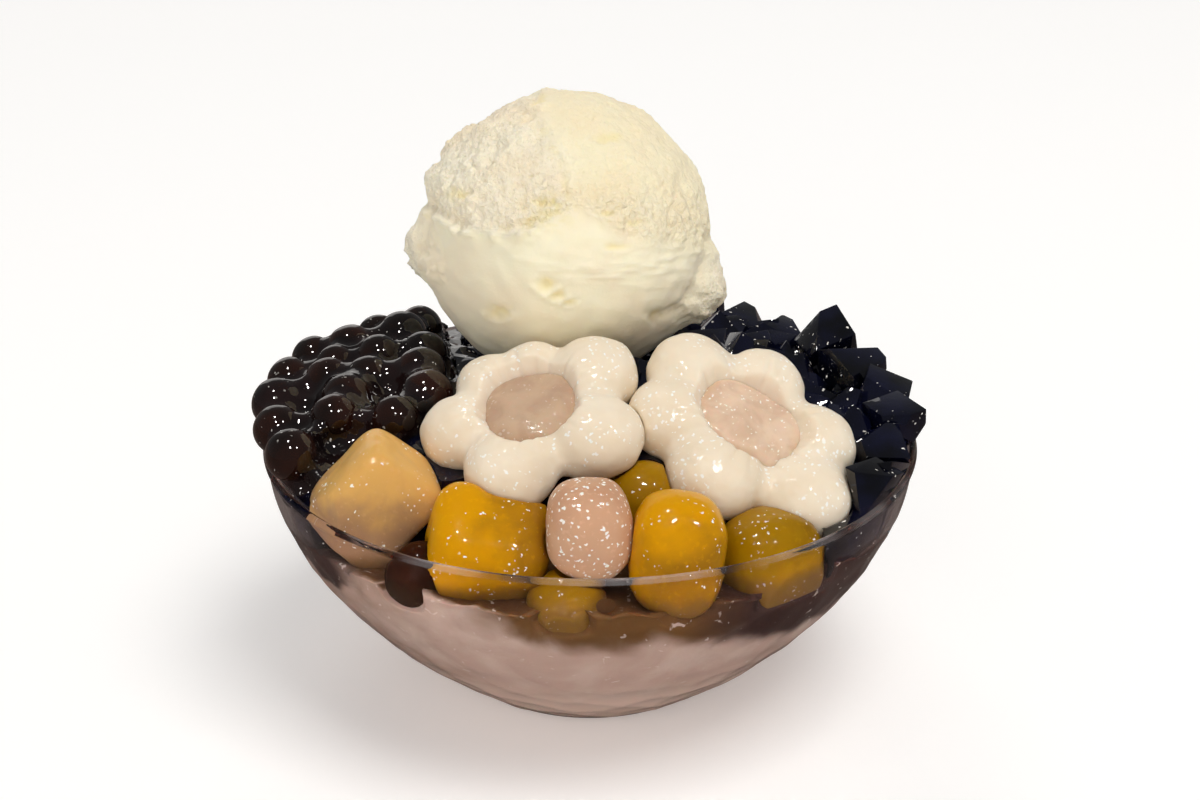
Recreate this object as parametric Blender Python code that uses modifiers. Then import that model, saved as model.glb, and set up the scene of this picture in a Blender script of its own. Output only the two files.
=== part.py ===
"""Grass jelly dessert in a clear bowl.

A thin clear bowl holds crushed milk ice up to a level line. Dark tapioca pearls fill the left
of the mound on it and black jelly cubes the right. Soft taro and sweet potato pieces lie along
the front wall, two six-petalled rice dumplings lean on them, and one scoop of ice cream sits
in a dent on top. Metres, +Z up. The origin is the middle of the bowl's flat underside, and the
viewer stands at -Y.
"""

import math
import random
from typing import NamedTuple

import bmesh
import bpy
import numpy as np
from mathutils import Euler, Matrix, Vector, noise

# ---------------------------------------------------------------- driving dimensions (metres)
OBJECT_NAME = "grass_jelly_dessert"
BOWL_HEIGHT = 0.0550
BASE_RADIUS = 0.0280
RIM_RADIUS = 0.0700
WALL = 0.0014
BEAD_RADIUS = 0.0011            # the rounded lip, wholly inside the rim radius
SIDE_BULGE = 0.90               # below 1 the side bellies out sooner above the base
SIDES = 40                      # facets round every turned piece
CORE_SIDES = 28                 # facets round the heaps' cores
SIDE_STATIONS = 7               # points up the bowl's side
GAP = 0.0003                    # between pieces that touch
CLEARANCE = 0.0005              # kept by the loose pieces of a heap

MILK_LEVEL = 0.0450
HEAP_FOOT = 0.0380              # the heaps stand this high in a pocket of the milk ice
FOOT_RADIUS = 0.0603
FRONT_EDGE = -0.0340            # y of the heaps' front face on the centre line
FRONT_SKEW = -0.06              # that face runs a little forward towards the right

PEARL_RADIUS = 0.0052
PEARL_SPACING = 0.0088          # least distance between two pearls' centres
PEARL_SECTOR_APEX = (-0.0240, -0.0080)
PEARL_SECTOR = (98.0, 232.0)    # degrees, the pearls' share of the mound seen from above
CUBE_SIZE = 0.0104
CUBE_SPACING = 0.0082           # least distance between two cubes' centres
SMALLEST_CUBE = 0.62            # of the cube's size, on each side apart

SCOOP_RADIUS = 0.0310
SCOOP_CENTRE = (-0.0052, 0.0220, 0.0912)
CROWN_RELIEF = 0.0006           # how far the torn crown stands out over the pressed half
CRAG_RELIEF = 0.0016
WAVE_RELIEF = 0.0005
LIP_SHARPNESS = 14.0            # how suddenly the crown ends at its lip


# ------------------------------------------------------------------------------ plain records
class Finish(NamedTuple):
    """A sub-part's colour (sRGB, 0 to 1), roughness and share of light let through."""

    colour: tuple
    roughness: float
    transmission: float = 0.0


class Lump(NamedTuple):
    """A rounded soft piece: centre, half sizes, turn in degrees, and how boxy it is.

    A boxiness of 2 is an ellipsoid, and larger values square it off.
    """

    centre: tuple
    half: tuple
    turn: tuple = (0.0, 0.0, 0.0)
    boxiness: float = 2.0


class Petal(NamedTuple):
    """A dumpling petal: where its middle lies in the flower's plane, its half sizes, its lift."""

    azimuth: float
    reach: float
    half_width: float
    half_length: float
    lift: float


class Mound(NamedTuple):
    """The top of a heap's core: its shoulder by the rim, and its height in the middle."""

    shoulder_radius: float
    shoulder_height: float
    top: float


class Bump(NamedTuple):
    """A flake on the scoop: the way it points, how far it stands out, its angular size."""

    direction: tuple
    height: float
    spread: float


class Flower(NamedTuple):
    """A dumpling flower: centre, tilt of its face, the way it faces, its disc and petals."""

    centre: tuple
    tilt: float
    facing: float
    disc: Lump
    petals: tuple


CLEAR_BOWL = Finish((0.86, 0.88, 0.88), 0.05, 0.9)
MILK_ICE = Finish((0.66, 0.57, 0.52), 0.6)
DARK_PEARL = Finish((0.10, 0.07, 0.06), 0.12)
BLACK_JELLY = Finish((0.05, 0.05, 0.08), 0.08)
VANILLA = Finish((0.95, 0.91, 0.77), 0.55)
RICE_DOUGH = Finish((0.95, 0.90, 0.81), 0.3)
TARO_PASTE = Finish((0.80, 0.68, 0.57), 0.3)
BEIGE_TARO = Finish((0.80, 0.59, 0.40), 0.3)
YELLOW_POTATO = Finish((0.82, 0.56, 0.06), 0.25)
AMBER_POTATO = Finish((0.62, 0.46, 0.15), 0.25)
PINK_TARO = Finish((0.80, 0.61, 0.46), 0.3)

# Half sizes and places of the soft pieces along the front wall, named as their nodes.
# Where two of them press together, the later one in this table takes the dent.
FRONT_PIECES = {
    "pearl_front": (Lump((-0.0334, -0.0504, 0.0464), (0.0068, 0.0064, 0.0068)), DARK_PEARL),
    "taro_ball_pink": (
        Lump((-0.0002, -0.0545, 0.0582), (0.0087, 0.0080, 0.0104), boxiness=2.4), PINK_TARO),
    "taro_wedge": (
        Lump((-0.0432, -0.0368, 0.0560), (0.0110, 0.0090, 0.0108), (0, 42, 6), 3.4), BEIGE_TARO),
    "sweet_potato_ball_left": (
        Lump((-0.0204, -0.0482, 0.0512), (0.0122, 0.0112, 0.0108), (24, 12, 4), 3.4),
        YELLOW_POTATO),
    "sweet_potato_ball_mid": (
        Lump((0.0169, -0.0550, 0.0535), (0.0096, 0.0100, 0.0124), (-4, 4, 0), 2.6),
        YELLOW_POTATO),
    "sweet_potato_ball_right": (
        Lump((0.0356, -0.0452, 0.0470), (0.0108, 0.0096, 0.0102), (0, 0, 35), 2.5),
        AMBER_POTATO),
    "sweet_potato_ball_back": (
        Lump((0.0105, -0.0372, 0.0545), (0.0082, 0.0076, 0.0100), boxiness=2.2), AMBER_POTATO),
    "sweet_potato_ball_low": (
        Lump((-0.0046, -0.0582, 0.0446), (0.0078, 0.0080, 0.0062)), AMBER_POTATO),
}

PETAL_HALF_THICKNESS = 0.0080
FLOWER_REACH = 0.0300           # no petal reaches further from its flower's centre
HUB = Lump((0.0, 0.0, -0.0020), (0.0135, 0.0130, 0.0056))
FLOWERS = {
    "flower_left": Flower(
        (-0.0113, -0.0265, 0.0686), 25.0, -115.0,
        Lump((0.0, 0.0, 0.0026), (0.0094, 0.0094, 0.0030), boxiness=2.8),
        (
            Petal(180.0, 0.0142, 0.0082, 0.0094, -0.0003),
            Petal(130.0, 0.0124, 0.0079, 0.0087, 0.0002),
            Petal(88.0, 0.0116, 0.0083, 0.0089, -0.0002),
            Petal(37.0, 0.0154, 0.0092, 0.0098, 0.0004),
            Petal(-29.0, 0.0142, 0.0094, 0.0098, 0.0001),
            Petal(-111.0, 0.0134, 0.0098, 0.0098, 0.0005),
        ),
    ),
    "flower_right": Flower(
        (0.0312, -0.0240, 0.0650), 33.0, -60.0,
        Lump((0.0, 0.0, 0.0026), (0.0110, 0.0086, 0.0030), (0, 0, -25), 2.8),
        (
            Petal(136.0, 0.0154, 0.0097, 0.0103, 0.0003),
            Petal(73.0, 0.0124, 0.0092, 0.0098, -0.0002),
            Petal(2.0, 0.0146, 0.0091, 0.0096, 0.0002),
            Petal(-42.0, 0.0182, 0.0098, 0.0099, -0.0003),
            Petal(-115.0, 0.0136, 0.0100, 0.0102, 0.0004),
            Petal(-177.0, 0.0148, 0.0090, 0.0100, 0.0001),
        ),
    ),
}

# The torn flakes that stand out of the scoop's left and right sides.
SCOOP_BUMPS = (
    Bump((-0.997, -0.030, -0.070), 0.0034, 0.19),
    Bump((0.934, -0.146, -0.328), 0.0056, 0.24),
)

PEARL_MOUND = Mound(0.0645, 0.0586, 0.0658)
JELLY_MOUND = Mound(0.0608, 0.0542, 0.0654)
MOUND_POWER = 1.8               # the mounds' tops fall as this power of the radius
WAIST_RADIUS = 0.0586           # the cores' upright side between the milk and the shoulder
WAIST_FOOT = 0.0018             # the waist starts this far above the milk
PEARL_LIFT = 0.0030             # scattered pieces sit this far above their core's top
CUBE_LIFT = 0.0016
LIFT_SPREAD = 0.0010            # and up to this much more, by chance

# Rings of pieces set out by hand, the rest being scattered: radius of the ring, height of the
# pieces' centres, first and last azimuth in degrees, distance from one piece to the next.
PEARLS_ON_WALL = (0.0610, 0.0507, 118.0, 212.0, 0.0110)
PEARLS_ON_RIM = (0.0674, 0.0615, 158.0, 204.0, 0.0108)
CUBES_ON_WALL = (0.0596, 0.0502, -34.0, 112.0, 0.0108)
CUBES_ON_BACK = (0.0612, 0.0598, 32.0, 76.0, 0.0112)
CUBES_ON_RIM = (0.0664, 0.0598, -9.0, -5.0, 0.0140)


# ------------------------------------------------------------------------------ scene plumbing
def clear_scene():
    """Remove every object, so that the model stands alone."""
    for obj in list(bpy.data.objects):
        bpy.data.objects.remove(obj, do_unlink=True)


def new_collection(name):
    """A collection linked to the scene."""
    collection = bpy.data.collections.new(name)
    bpy.context.scene.collection.children.link(collection)
    return collection


def material(name, finish):
    """A Principled material with a finish's colour, roughness and transmission."""
    mat = bpy.data.materials.new(name)
    mat.use_nodes = True
    shader = mat.node_tree.nodes["Principled BSDF"]
    linear = [channel ** 2.2 for channel in finish.colour]
    shader.inputs["Base Color"].default_value = (*linear, 1.0)
    shader.inputs["Roughness"].default_value = finish.roughness
    shader.inputs["Metallic"].default_value = 0.0
    shader.inputs["Transmission Weight"].default_value = finish.transmission
    return mat


def object_from(bm, name, collection):
    """A mesh object holding a bmesh, which is freed."""
    mesh = bpy.data.meshes.new(name)
    bm.to_mesh(mesh)
    bm.free()
    obj = bpy.data.objects.new(name, mesh)
    collection.objects.link(obj)
    return obj


def bake_modifiers(obj):
    """Make an object's evaluated shape its own mesh, and drop its modifiers."""
    depsgraph = bpy.context.evaluated_depsgraph_get()
    mesh = bpy.data.meshes.new_from_object(obj.evaluated_get(depsgraph))
    obj.modifiers.clear()
    obj.data = mesh
    return obj


def drop(objects):
    """Remove helper objects once nothing needs them."""
    for obj in list(objects):
        bpy.data.objects.remove(obj, do_unlink=True)


def combine(obj, others, operation, solver="EXACT"):
    """Union with, or cut by, a list of objects in one Boolean, which is baked in."""
    group = bpy.data.collections.new(obj.name + "_others")
    for other in others:
        group.objects.link(other)
    modifier = obj.modifiers.new(operation.lower(), "BOOLEAN")
    modifier.operation = operation
    modifier.operand_type = "COLLECTION"
    modifier.collection = group
    modifier.solver = solver
    bake_modifiers(obj)
    bpy.data.collections.remove(group)
    return obj


def keep_largest(obj):
    """Keep the main body alone: no loose scraps beside it, no hollows sealed inside it."""
    bm = bmesh.new()
    bm.from_mesh(obj.data)
    unseen = set(bm.verts)
    islands = []
    while unseen:
        stack = [unseen.pop()]
        island = set(stack)
        while stack:
            for edge in stack.pop().link_edges:
                for vert in edge.verts:
                    if vert in unseen:
                        unseen.discard(vert)
                        island.add(vert)
                        stack.append(vert)
        islands.append(island)
    islands.sort(key=len)
    scraps = [vert for island in islands[:-1] for vert in island]
    bmesh.ops.delete(bm, geom=scraps, context="VERTS")
    bm.to_mesh(obj.data)
    bm.free()
    return obj


def finish_part(obj, name, finish, smooth_angle=40.0):
    """Name a sub-part, give it its material and shade its round faces smooth."""
    obj.name = name
    obj.data.name = name
    obj.data.materials.clear()
    obj.data.materials.append(material(name + "_finish", finish))
    obj.data.shade_smooth()
    obj.data.set_sharp_from_angle(angle=math.radians(smooth_angle))
    return obj


# ----------------------------------------------------------------------------- bowl's section
def side_curve(inset):
    """Radii and heights of the bowl's side, set inwards from its outer face by inset.

    The same few stations serve every inset, so that faceted neighbours stay parallel.
    """
    share = np.linspace(0.0, 1.0, 400)
    top_radius = RIM_RADIUS - WALL / 2
    bulge = np.sin(math.pi / 2 * share ** SIDE_BULGE)
    radii = BASE_RADIUS + (top_radius - BASE_RADIUS) * bulge
    heights = BOWL_HEIGHT * share
    slope_r = np.gradient(radii)
    slope_z = np.gradient(heights)
    length = np.hypot(slope_r, slope_z)
    along = np.cumsum(length)
    stations = np.searchsorted(along, np.linspace(along[0], along[-1], SIDE_STATIONS))
    inner_radii = (radii - inset * slope_z / length)[stations]
    inner_heights = (heights + inset * slope_r / length)[stations]
    return inner_radii, inner_heights


def side_radius(height, inset):
    """Radius of the inset side at a height."""
    radii, heights = side_curve(inset)
    return float(np.interp(height, heights, radii))


def side_points(low, high, inset):
    """Profile points up the inset side, from one height to another."""
    radii, heights = side_curve(inset)
    between = [(r, z) for r, z in zip(radii, heights) if low + 0.0010 < z < high - 0.0010]
    return [(side_radius(low, inset), low)] + between + [(side_radius(high, inset), high)]


def turned(name, profile, collection, sides=SIDES):
    """A body turned about Z from a profile that runs down its outer side."""
    bm = bmesh.new()
    verts = [bm.verts.new((radius, 0.0, height)) for radius, height in profile]
    for upper, lower in zip(verts, verts[1:]):
        bm.edges.new((upper, lower))
    obj = object_from(bm, name, collection)
    screw = obj.modifiers.new("turn", "SCREW")
    screw.axis = "Z"
    screw.steps = sides
    screw.render_steps = sides
    screw.use_merge_vertices = True
    screw.merge_threshold = 0.00001
    bake_modifiers(obj)
    return obj


def bowl_room(collection):
    """All the room in and over the bowl that a soft piece may press out into."""
    bead_inner = RIM_RADIUS - 2 * BEAD_RADIUS - GAP
    side = side_points(WALL + GAP, BOWL_HEIGHT - 3 * BEAD_RADIUS, WALL + GAP)
    side += [(bead_inner, BOWL_HEIGHT - 2 * BEAD_RADIUS), (bead_inner, 2 * BOWL_HEIGHT)]
    profile = [(0.0, 2 * BOWL_HEIGHT)] + side[::-1] + [(0.0, WALL + GAP)]
    return turned("bowl_room", profile, collection)


def build_bowl(collection):
    """The clear bowl: flat base, bellied side and a beaded rim, open inside."""
    bead_centre = (RIM_RADIUS - BEAD_RADIUS, BOWL_HEIGHT - BEAD_RADIUS)
    bead = [
        (bead_centre[0] + BEAD_RADIUS * math.cos(angle),
         bead_centre[1] + BEAD_RADIUS * math.sin(angle))
        for angle in np.radians((200.0, 145.0, 90.0, 35.0, -20.0))
    ]
    side_top = BOWL_HEIGHT - 2.2 * BEAD_RADIUS
    inner = side_points(WALL, side_top, WALL)
    outer = side_points(0.0, side_top, 0.0)
    profile = [(0.0, WALL)] + inner + bead + outer[::-1] + [(0.0, 0.0)]
    return turned("bowl", profile, collection)


# ------------------------------------------------------------------------------ rounded pieces
def lump_frame(lump):
    """Placement matrix of a lump, without its half sizes."""
    turn = Euler([math.radians(angle) for angle in lump.turn]).to_matrix().to_4x4()
    return Matrix.Translation(lump.centre) @ turn


def add_lump(bm, lump, grow=0.0, frame=None, segments=12, rings=8):
    """Add a lump to a bmesh, grown on every side by grow, in an optional outer frame."""
    made = bmesh.ops.create_uvsphere(bm, u_segments=segments, v_segments=rings, radius=1.0)
    place = lump_frame(lump) if frame is None else frame @ lump_frame(lump)
    half = [size + grow for size in lump.half]
    for vert in made["verts"]:
        direction = vert.co.normalized()
        reach = sum(abs(part) ** lump.boxiness for part in direction) ** (1 / lump.boxiness)
        local = Vector([part / reach * size for part, size in zip(direction, half)])
        vert.co = place @ local


def lump_object(name, lump, collection, grow=0.0, frame=None, segments=12, rings=8):
    """A lump as an object of its own."""
    bm = bmesh.new()
    add_lump(bm, lump, grow, frame, segments, rings)
    return object_from(bm, name, collection)


def inside_lump(point, lump, margin, frame=None):
    """Whether a point lies in a lump that is grown by margin."""
    place = lump_frame(lump) if frame is None else frame @ lump_frame(lump)
    local = place.inverted() @ Vector(point)
    shares = [abs(part) / (size + margin) for part, size in zip(local, lump.half)]
    return sum(share ** lump.boxiness for share in shares) < 1.0


def flower_frame(flower):
    """Placement of a flower's plane: tilted over towards the way it faces."""
    facing = Matrix.Rotation(math.radians(flower.facing), 4, "Z")
    tilt = Matrix.Rotation(math.radians(flower.tilt), 4, "Y")
    return Matrix.Translation(flower.centre) @ facing @ tilt @ facing.inverted()


def petal_lump(petal):
    """A petal as a lump in its flower's plane, its length pointing outwards."""
    angle = math.radians(petal.azimuth)
    centre = (petal.reach * math.cos(angle), petal.reach * math.sin(angle), petal.lift)
    half = (petal.half_length, petal.half_width, PETAL_HALF_THICKNESS)
    return Lump(centre, half, (0.0, 0.0, petal.azimuth))


def flower_lumps(flower):
    """The hub and petals that a flower is pinched together from."""
    return [HUB] + [petal_lump(petal) for petal in flower.petals]


def flower_object(name, flower, collection, helpers, grow=0.0):
    """A rice dumpling flower, its petals and hub fused into one body."""
    frame = flower_frame(flower)
    lumps = flower_lumps(flower)
    body = lump_object(name, lumps[0], collection, grow, frame)
    petals = [
        lump_object(name + "_petal", lump, helpers, grow, frame, segments=12, rings=7)
        for lump in lumps[1:]
    ]
    combine(body, petals, "UNION")
    drop(petals)
    return body


# ---------------------------------------------------------------------------------- ice cream
def scoop_relief(direction):
    """How far the scoop stands out of its sphere along a direction.

    The crown and its left side are torn into crags, which end in a lip above the smooth,
    pressed lower half. A flake stands out on each side.
    """
    lip_height = 0.12 + 0.16 * math.sin(2.2 * math.atan2(direction.y, direction.x) + 0.6)
    crown = 1.0 / (1.0 + math.exp(-LIP_SHARPNESS * (direction.z - lip_height)))
    torn = 0.45 + 0.55 * max(0.0, -direction.x)
    crags = noise.noise(direction * 5.0) + 0.5 * noise.noise(direction * 11.0)
    waves = noise.noise(direction * 2.2)
    relief = crown * (CROWN_RELIEF + CRAG_RELIEF * torn * crags) + WAVE_RELIEF * waves
    for bump in SCOOP_BUMPS:
        angle = direction.angle(Vector(bump.direction))
        relief += bump.height * math.exp(-(angle / bump.spread) ** 2)
    return relief


def build_scoop(name, collection, grow=0.0):
    """The ice cream scoop: a ball with its relief."""
    bm = bmesh.new()
    bmesh.ops.create_icosphere(bm, subdivisions=4, radius=1.0)
    centre = Vector(SCOOP_CENTRE)
    for vert in bm.verts:
        direction = vert.co.normalized()
        radius = SCOOP_RADIUS + grow + scoop_relief(direction)
        vert.co = centre + radius * direction
    return object_from(bm, name, collection)


# ----------------------------------------------------------------------------- heaps and milk
def half_space(obj, point, outward):
    """Cut an object off flat beyond a plane and close the cut."""
    bm = bmesh.new()
    bm.from_mesh(obj.data)
    geometry = list(bm.verts) + list(bm.edges) + list(bm.faces)
    cut = bmesh.ops.bisect_plane(
        bm, geom=geometry, dist=0.0000001, plane_co=point, plane_no=outward, clear_outer=True)
    edges = [item for item in cut["geom_cut"] if isinstance(item, bmesh.types.BMEdge)]
    bmesh.ops.contextual_create(bm, geom=edges)
    bm.to_mesh(obj.data)
    bm.free()
    return obj


def front_face(forward=0.0):
    """Point and outward normal of the heaps' front face, moved towards the viewer."""
    outward = Vector((-FRONT_SKEW, -1.0, 0.0)).normalized()
    return Vector((0.0, FRONT_EDGE, 0.0)) + outward * forward, outward


def sector_faces(grow=0.0):
    """Points and outward normals of the two upright faces of the pearls' sector."""
    faces = []
    for azimuth, side in zip(PEARL_SECTOR, (-90.0, 90.0)):
        angle = math.radians(azimuth + side)
        outward = Vector((math.cos(angle), math.sin(angle), 0.0))
        faces.append((Vector((*PEARL_SECTOR_APEX, 0.0)) + outward * grow, outward))
    return faces


def sector_block(name, collection, grow):
    """A block over the pearls' sector, grown into the jelly by grow."""
    bm = bmesh.new()
    bmesh.ops.create_cube(bm, size=4 * RIM_RADIUS)
    block = object_from(bm, name, collection)
    for point, outward in sector_faces(grow):
        half_space(block, point, outward)
    return block


def mound_height(mound, radius):
    """Height of a core's top at a radius."""
    share = min(radius / mound.shoulder_radius, 1.0)
    return mound.top - (mound.top - mound.shoulder_height) * share ** MOUND_POWER


def core_profile(mound):
    """A core's section: foot in the milk ice, upright waist, shoulder and crown."""
    crown = [
        (radius, mound_height(mound, radius))
        for radius in mound.shoulder_radius * np.linspace(1.0, 0.0, 5)
    ]
    waist_top = mound.shoulder_height - (mound.shoulder_radius - WAIST_RADIUS)
    foot = [
        (0.0, HEAP_FOOT), (FOOT_RADIUS, HEAP_FOOT), (FOOT_RADIUS, MILK_LEVEL),
        (WAIST_RADIUS, MILK_LEVEL + WAIST_FOOT), (WAIST_RADIUS, waist_top),
    ]
    return (foot + crown)[::-1]


def build_pearl_core(name, collection):
    """The packed middle of the pearl heap."""
    core = turned(name, core_profile(PEARL_MOUND), collection, CORE_SIDES)
    for point, outward in sector_faces() + [front_face()]:
        half_space(core, point, outward)
    return core


def build_jelly_core(name, collection, helpers):
    """The packed middle of the jelly heap: the mound without the pearls' sector."""
    core = turned(name, core_profile(JELLY_MOUND), collection, CORE_SIDES)
    half_space(core, *front_face())
    block = sector_block("pearl_sector", helpers, GAP)
    combine(core, [block], "DIFFERENCE")
    drop([block])
    return core


def build_milk(collection, helpers):
    """Crushed milk ice up to its level, with the pocket that the heaps stand in."""
    inset = WALL + GAP
    floor = WALL + GAP
    side = side_points(floor, MILK_LEVEL, inset)
    milk = turned("milk_ice", [(0.0, MILK_LEVEL)] + side[::-1] + [(0.0, floor)], collection)
    pocket_top = MILK_LEVEL + 10 * GAP
    pocket_radius = FOOT_RADIUS + GAP
    profile = [
        (0.0, pocket_top), (pocket_radius, pocket_top), (pocket_radius, HEAP_FOOT - GAP),
        (0.0, HEAP_FOOT - GAP),
    ]
    pocket = turned("milk_pocket", profile, helpers, CORE_SIDES)
    half_space(pocket, *front_face(GAP))
    combine(milk, [pocket], "DIFFERENCE")
    drop([pocket])
    return milk


# ------------------------------------------------------------------------ where a piece may lie
def clear_of_bowl(point):
    """Whether a point keeps off the bowl's wall and bead."""
    radius = math.hypot(point[0], point[1])
    if point[2] > BOWL_HEIGHT + CLEARANCE:
        return True
    bead_inner = RIM_RADIUS - 2 * BEAD_RADIUS
    limit = min(side_radius(point[2], WALL), bead_inner)
    return radius < limit * math.cos(math.pi / SIDES) - CLEARANCE


def clear_of_toppings(point):
    """Whether a point keeps off the scoop, the flowers and the front pieces."""
    from_scoop = Vector(point) - Vector(SCOOP_CENTRE)
    relief = scoop_relief(from_scoop.normalized())
    if from_scoop.length < SCOOP_RADIUS + relief + 2 * CLEARANCE:
        return False
    for lump, _finish in FRONT_PIECES.values():
        if inside_lump(point, lump, CLEARANCE):
            return False
    for flower in FLOWERS.values():
        frame = flower_frame(flower)
        if (Vector(point) - Vector(flower.centre)).length > FLOWER_REACH:
            continue
        for lump in flower_lumps(flower):
            if inside_lump(point, lump, CLEARANCE, frame):
                return False
    return True


def in_pearl_sector(point, grow):
    """Whether a point lies in the pearls' sector, grown by grow."""
    return all(
        (Vector((point[0], point[1], 0.0)) - place).dot(outward) < 0.0
        for place, outward in sector_faces(grow)
    )


def free_place(points, on_its_side):
    """Whether a piece sampled by points crosses nothing but its own heap."""
    return all(
        point[2] > MILK_LEVEL + CLEARANCE
        and on_its_side(point)
        and clear_of_bowl(point)
        and clear_of_toppings(point)
        for point in points
    )


def on_ring(ring):
    """Spots of evenly spaced pieces round a ring, with their azimuths."""
    radius, height, first, last, pitch = ring
    count = int(math.radians(last - first) * radius / pitch)
    for azimuth in np.radians(np.linspace(first, last, count + 1)):
        yield Vector((radius * math.cos(azimuth), radius * math.sin(azimuth), height)), azimuth


def on_mound(mound, draw, lift, attempts):
    """Random spots over a mound, with their azimuths, a little above its surface."""
    for _attempt in range(attempts):
        azimuth = draw.uniform(0.0, 2.0 * math.pi)
        radius = mound.shoulder_radius * math.sqrt(draw.random())
        height = mound_height(mound, radius) + lift + draw.uniform(0.0, LIFT_SPREAD)
        yield Vector((radius * math.cos(azimuth), radius * math.sin(azimuth), height)), azimuth


def place_pieces(spots, shape_at, sample, spacing, on_its_side):
    """Take each spot in turn where a piece keeps its distance and crosses nothing.

    shape_at(azimuth) gives the piece's turn and size, and sample the points it is tested by.
    """
    placed = []
    for spot, azimuth in spots:
        shape = shape_at(azimuth)
        if any((spot - other.translation).length < spacing for other in placed):
            continue
        matrix = Matrix.Translation(spot) @ shape
        if free_place([matrix @ point for point in sample], on_its_side):
            placed.append(matrix)
    return placed


def pearl_mesh(matrix):
    """A low-sided ball of unit radius, placed by a matrix."""
    bm = bmesh.new()
    bmesh.ops.create_cube(bm, size=2.0)
    bmesh.ops.subdivide_edges(bm, edges=bm.edges, cuts=1, use_grid_fill=True)
    for vert in bm.verts:
        vert.co = matrix @ (vert.co.normalized() * 1.03)
    return bm


def pearl_matrices():
    """Placements of the pearls that show: against the wall, on the rim and over the mound."""
    draw = random.Random(11)
    bm = pearl_mesh(Matrix.Scale(1.05, 4))
    sample = [vert.co.copy() for vert in bm.verts] + [
        face.calc_center_median() for face in bm.faces]
    bm.free()

    def shape_at(_azimuth):
        """Turn and size of a pearl."""
        turn = Euler([draw.uniform(0.0, math.tau) for _axis in range(3)]).to_matrix().to_4x4()
        return turn @ Matrix.Scale(PEARL_RADIUS * draw.uniform(0.94, 1.04), 4)

    spots = list(on_ring(PEARLS_ON_WALL)) + list(on_ring(PEARLS_ON_RIM))
    spots += list(on_mound(PEARL_MOUND, draw, PEARL_LIFT, 1500))
    return place_pieces(
        spots, shape_at, sample, PEARL_SPACING, lambda point: in_pearl_sector(point, -GAP))


def cube_sample():
    """Points over a cube of unit half size, for testing where it may lie."""
    steps = np.linspace(-1.0, 1.0, 5)
    return [
        Vector((x, y, z)) for x in steps for y in steps for z in steps
        if max(abs(x), abs(y), abs(z)) == 1.0
    ]


def cube_matrices():
    """Placements of the jelly cubes that show: along the wall, on the rim and on the mound."""
    draw = random.Random(5)

    def shape(azimuth, wildness, largest):
        """Turn and half sizes of a cube: how wildly it lies, and how large it may be."""
        half = [CUBE_SIZE / 2 * draw.uniform(SMALLEST_CUBE, largest) for _axis in range(3)]
        spin = [math.radians(draw.uniform(-wildness, wildness)) for _axis in range(3)]
        turn = Euler((spin[0], 0.3 * spin[1], azimuth + spin[2])).to_matrix().to_4x4()
        return turn @ Matrix.Diagonal((*half, 1.0))

    def beyond(point):
        """Whether a point lies outside the pearls' sector."""
        return not in_pearl_sector(point, GAP)

    sample = cube_sample()
    upright = list(on_ring(CUBES_ON_WALL)) + list(on_ring(CUBES_ON_BACK))
    wall = place_pieces(
        upright, lambda azimuth: shape(azimuth, 10.0, 0.82), sample, CUBE_SPACING, beyond)
    rim = place_pieces(
        on_ring(CUBES_ON_RIM), lambda azimuth: shape(azimuth + 0.8, 6.0, 0.80), sample,
        CUBE_SPACING, beyond)
    mound = place_pieces(
        on_mound(JELLY_MOUND, draw, CUBE_LIFT, 2500), lambda azimuth: shape(azimuth, 180.0, 1.15),
        sample, CUBE_SPACING, beyond)
    return wall + rim + mound


def heap(core, pieces):
    """Fuse the pieces that show on a heap's core."""
    combine(core, pieces, "UNION", "MANIFOLD")
    drop(pieces)
    return keep_largest(core)


def pearl_pieces(helpers):
    """Pearls as low-sided balls, ready to be fused on their core."""
    pieces = []
    for matrix in pearl_matrices():
        pieces.append(object_from(pearl_mesh(matrix), "pearl", helpers))
    return pieces


def cube_pieces(helpers):
    """Jelly cubes, ready to be fused on their core."""
    pieces = []
    for matrix in cube_matrices():
        bm = bmesh.new()
        bmesh.ops.create_cube(bm, size=2.0, matrix=matrix)
        pieces.append(object_from(bm, "cube", helpers))
    return pieces


# --------------------------------------------------------------------------------------- main
def build_flowers(parts, helpers, scoop_cutter):
    """Both dumpling flowers with their discs; the right one gives way to the left."""
    grown = {}
    for name, flower in FLOWERS.items():
        frame = flower_frame(flower)
        disc = lump_object(name + "_centre", flower.disc, parts, 0.0, frame, 14, 6)
        hollow = lump_object(name + "_hollow", flower.disc, helpers, GAP, frame, 14, 6)
        body = flower_object(name, flower, parts, helpers)
        combine(body, [scoop_cutter, hollow] + list(grown.values()), "DIFFERENCE")
        drop([hollow])
        grown[name] = flower_object(name + "_grown", flower, helpers, helpers, GAP)
        finish_part(body, name, RICE_DOUGH)
        finish_part(disc, name + "_centre", TARO_PASTE)
    return list(grown.values())


def build_front_pieces(parts, helpers, flower_cutters):
    """The soft pieces along the front wall, each dented by what presses on it."""
    grown = []
    room = bowl_room(helpers)
    for name, (lump, finish) in FRONT_PIECES.items():
        piece = lump_object(name, lump, parts)
        combine(piece, [room], "INTERSECT")
        combine(piece, flower_cutters + grown, "DIFFERENCE")
        keep_largest(piece)
        grown.append(lump_object(name + "_grown", lump, helpers, GAP))
        finish_part(piece, name, finish)
    drop([room])
    return grown


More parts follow.
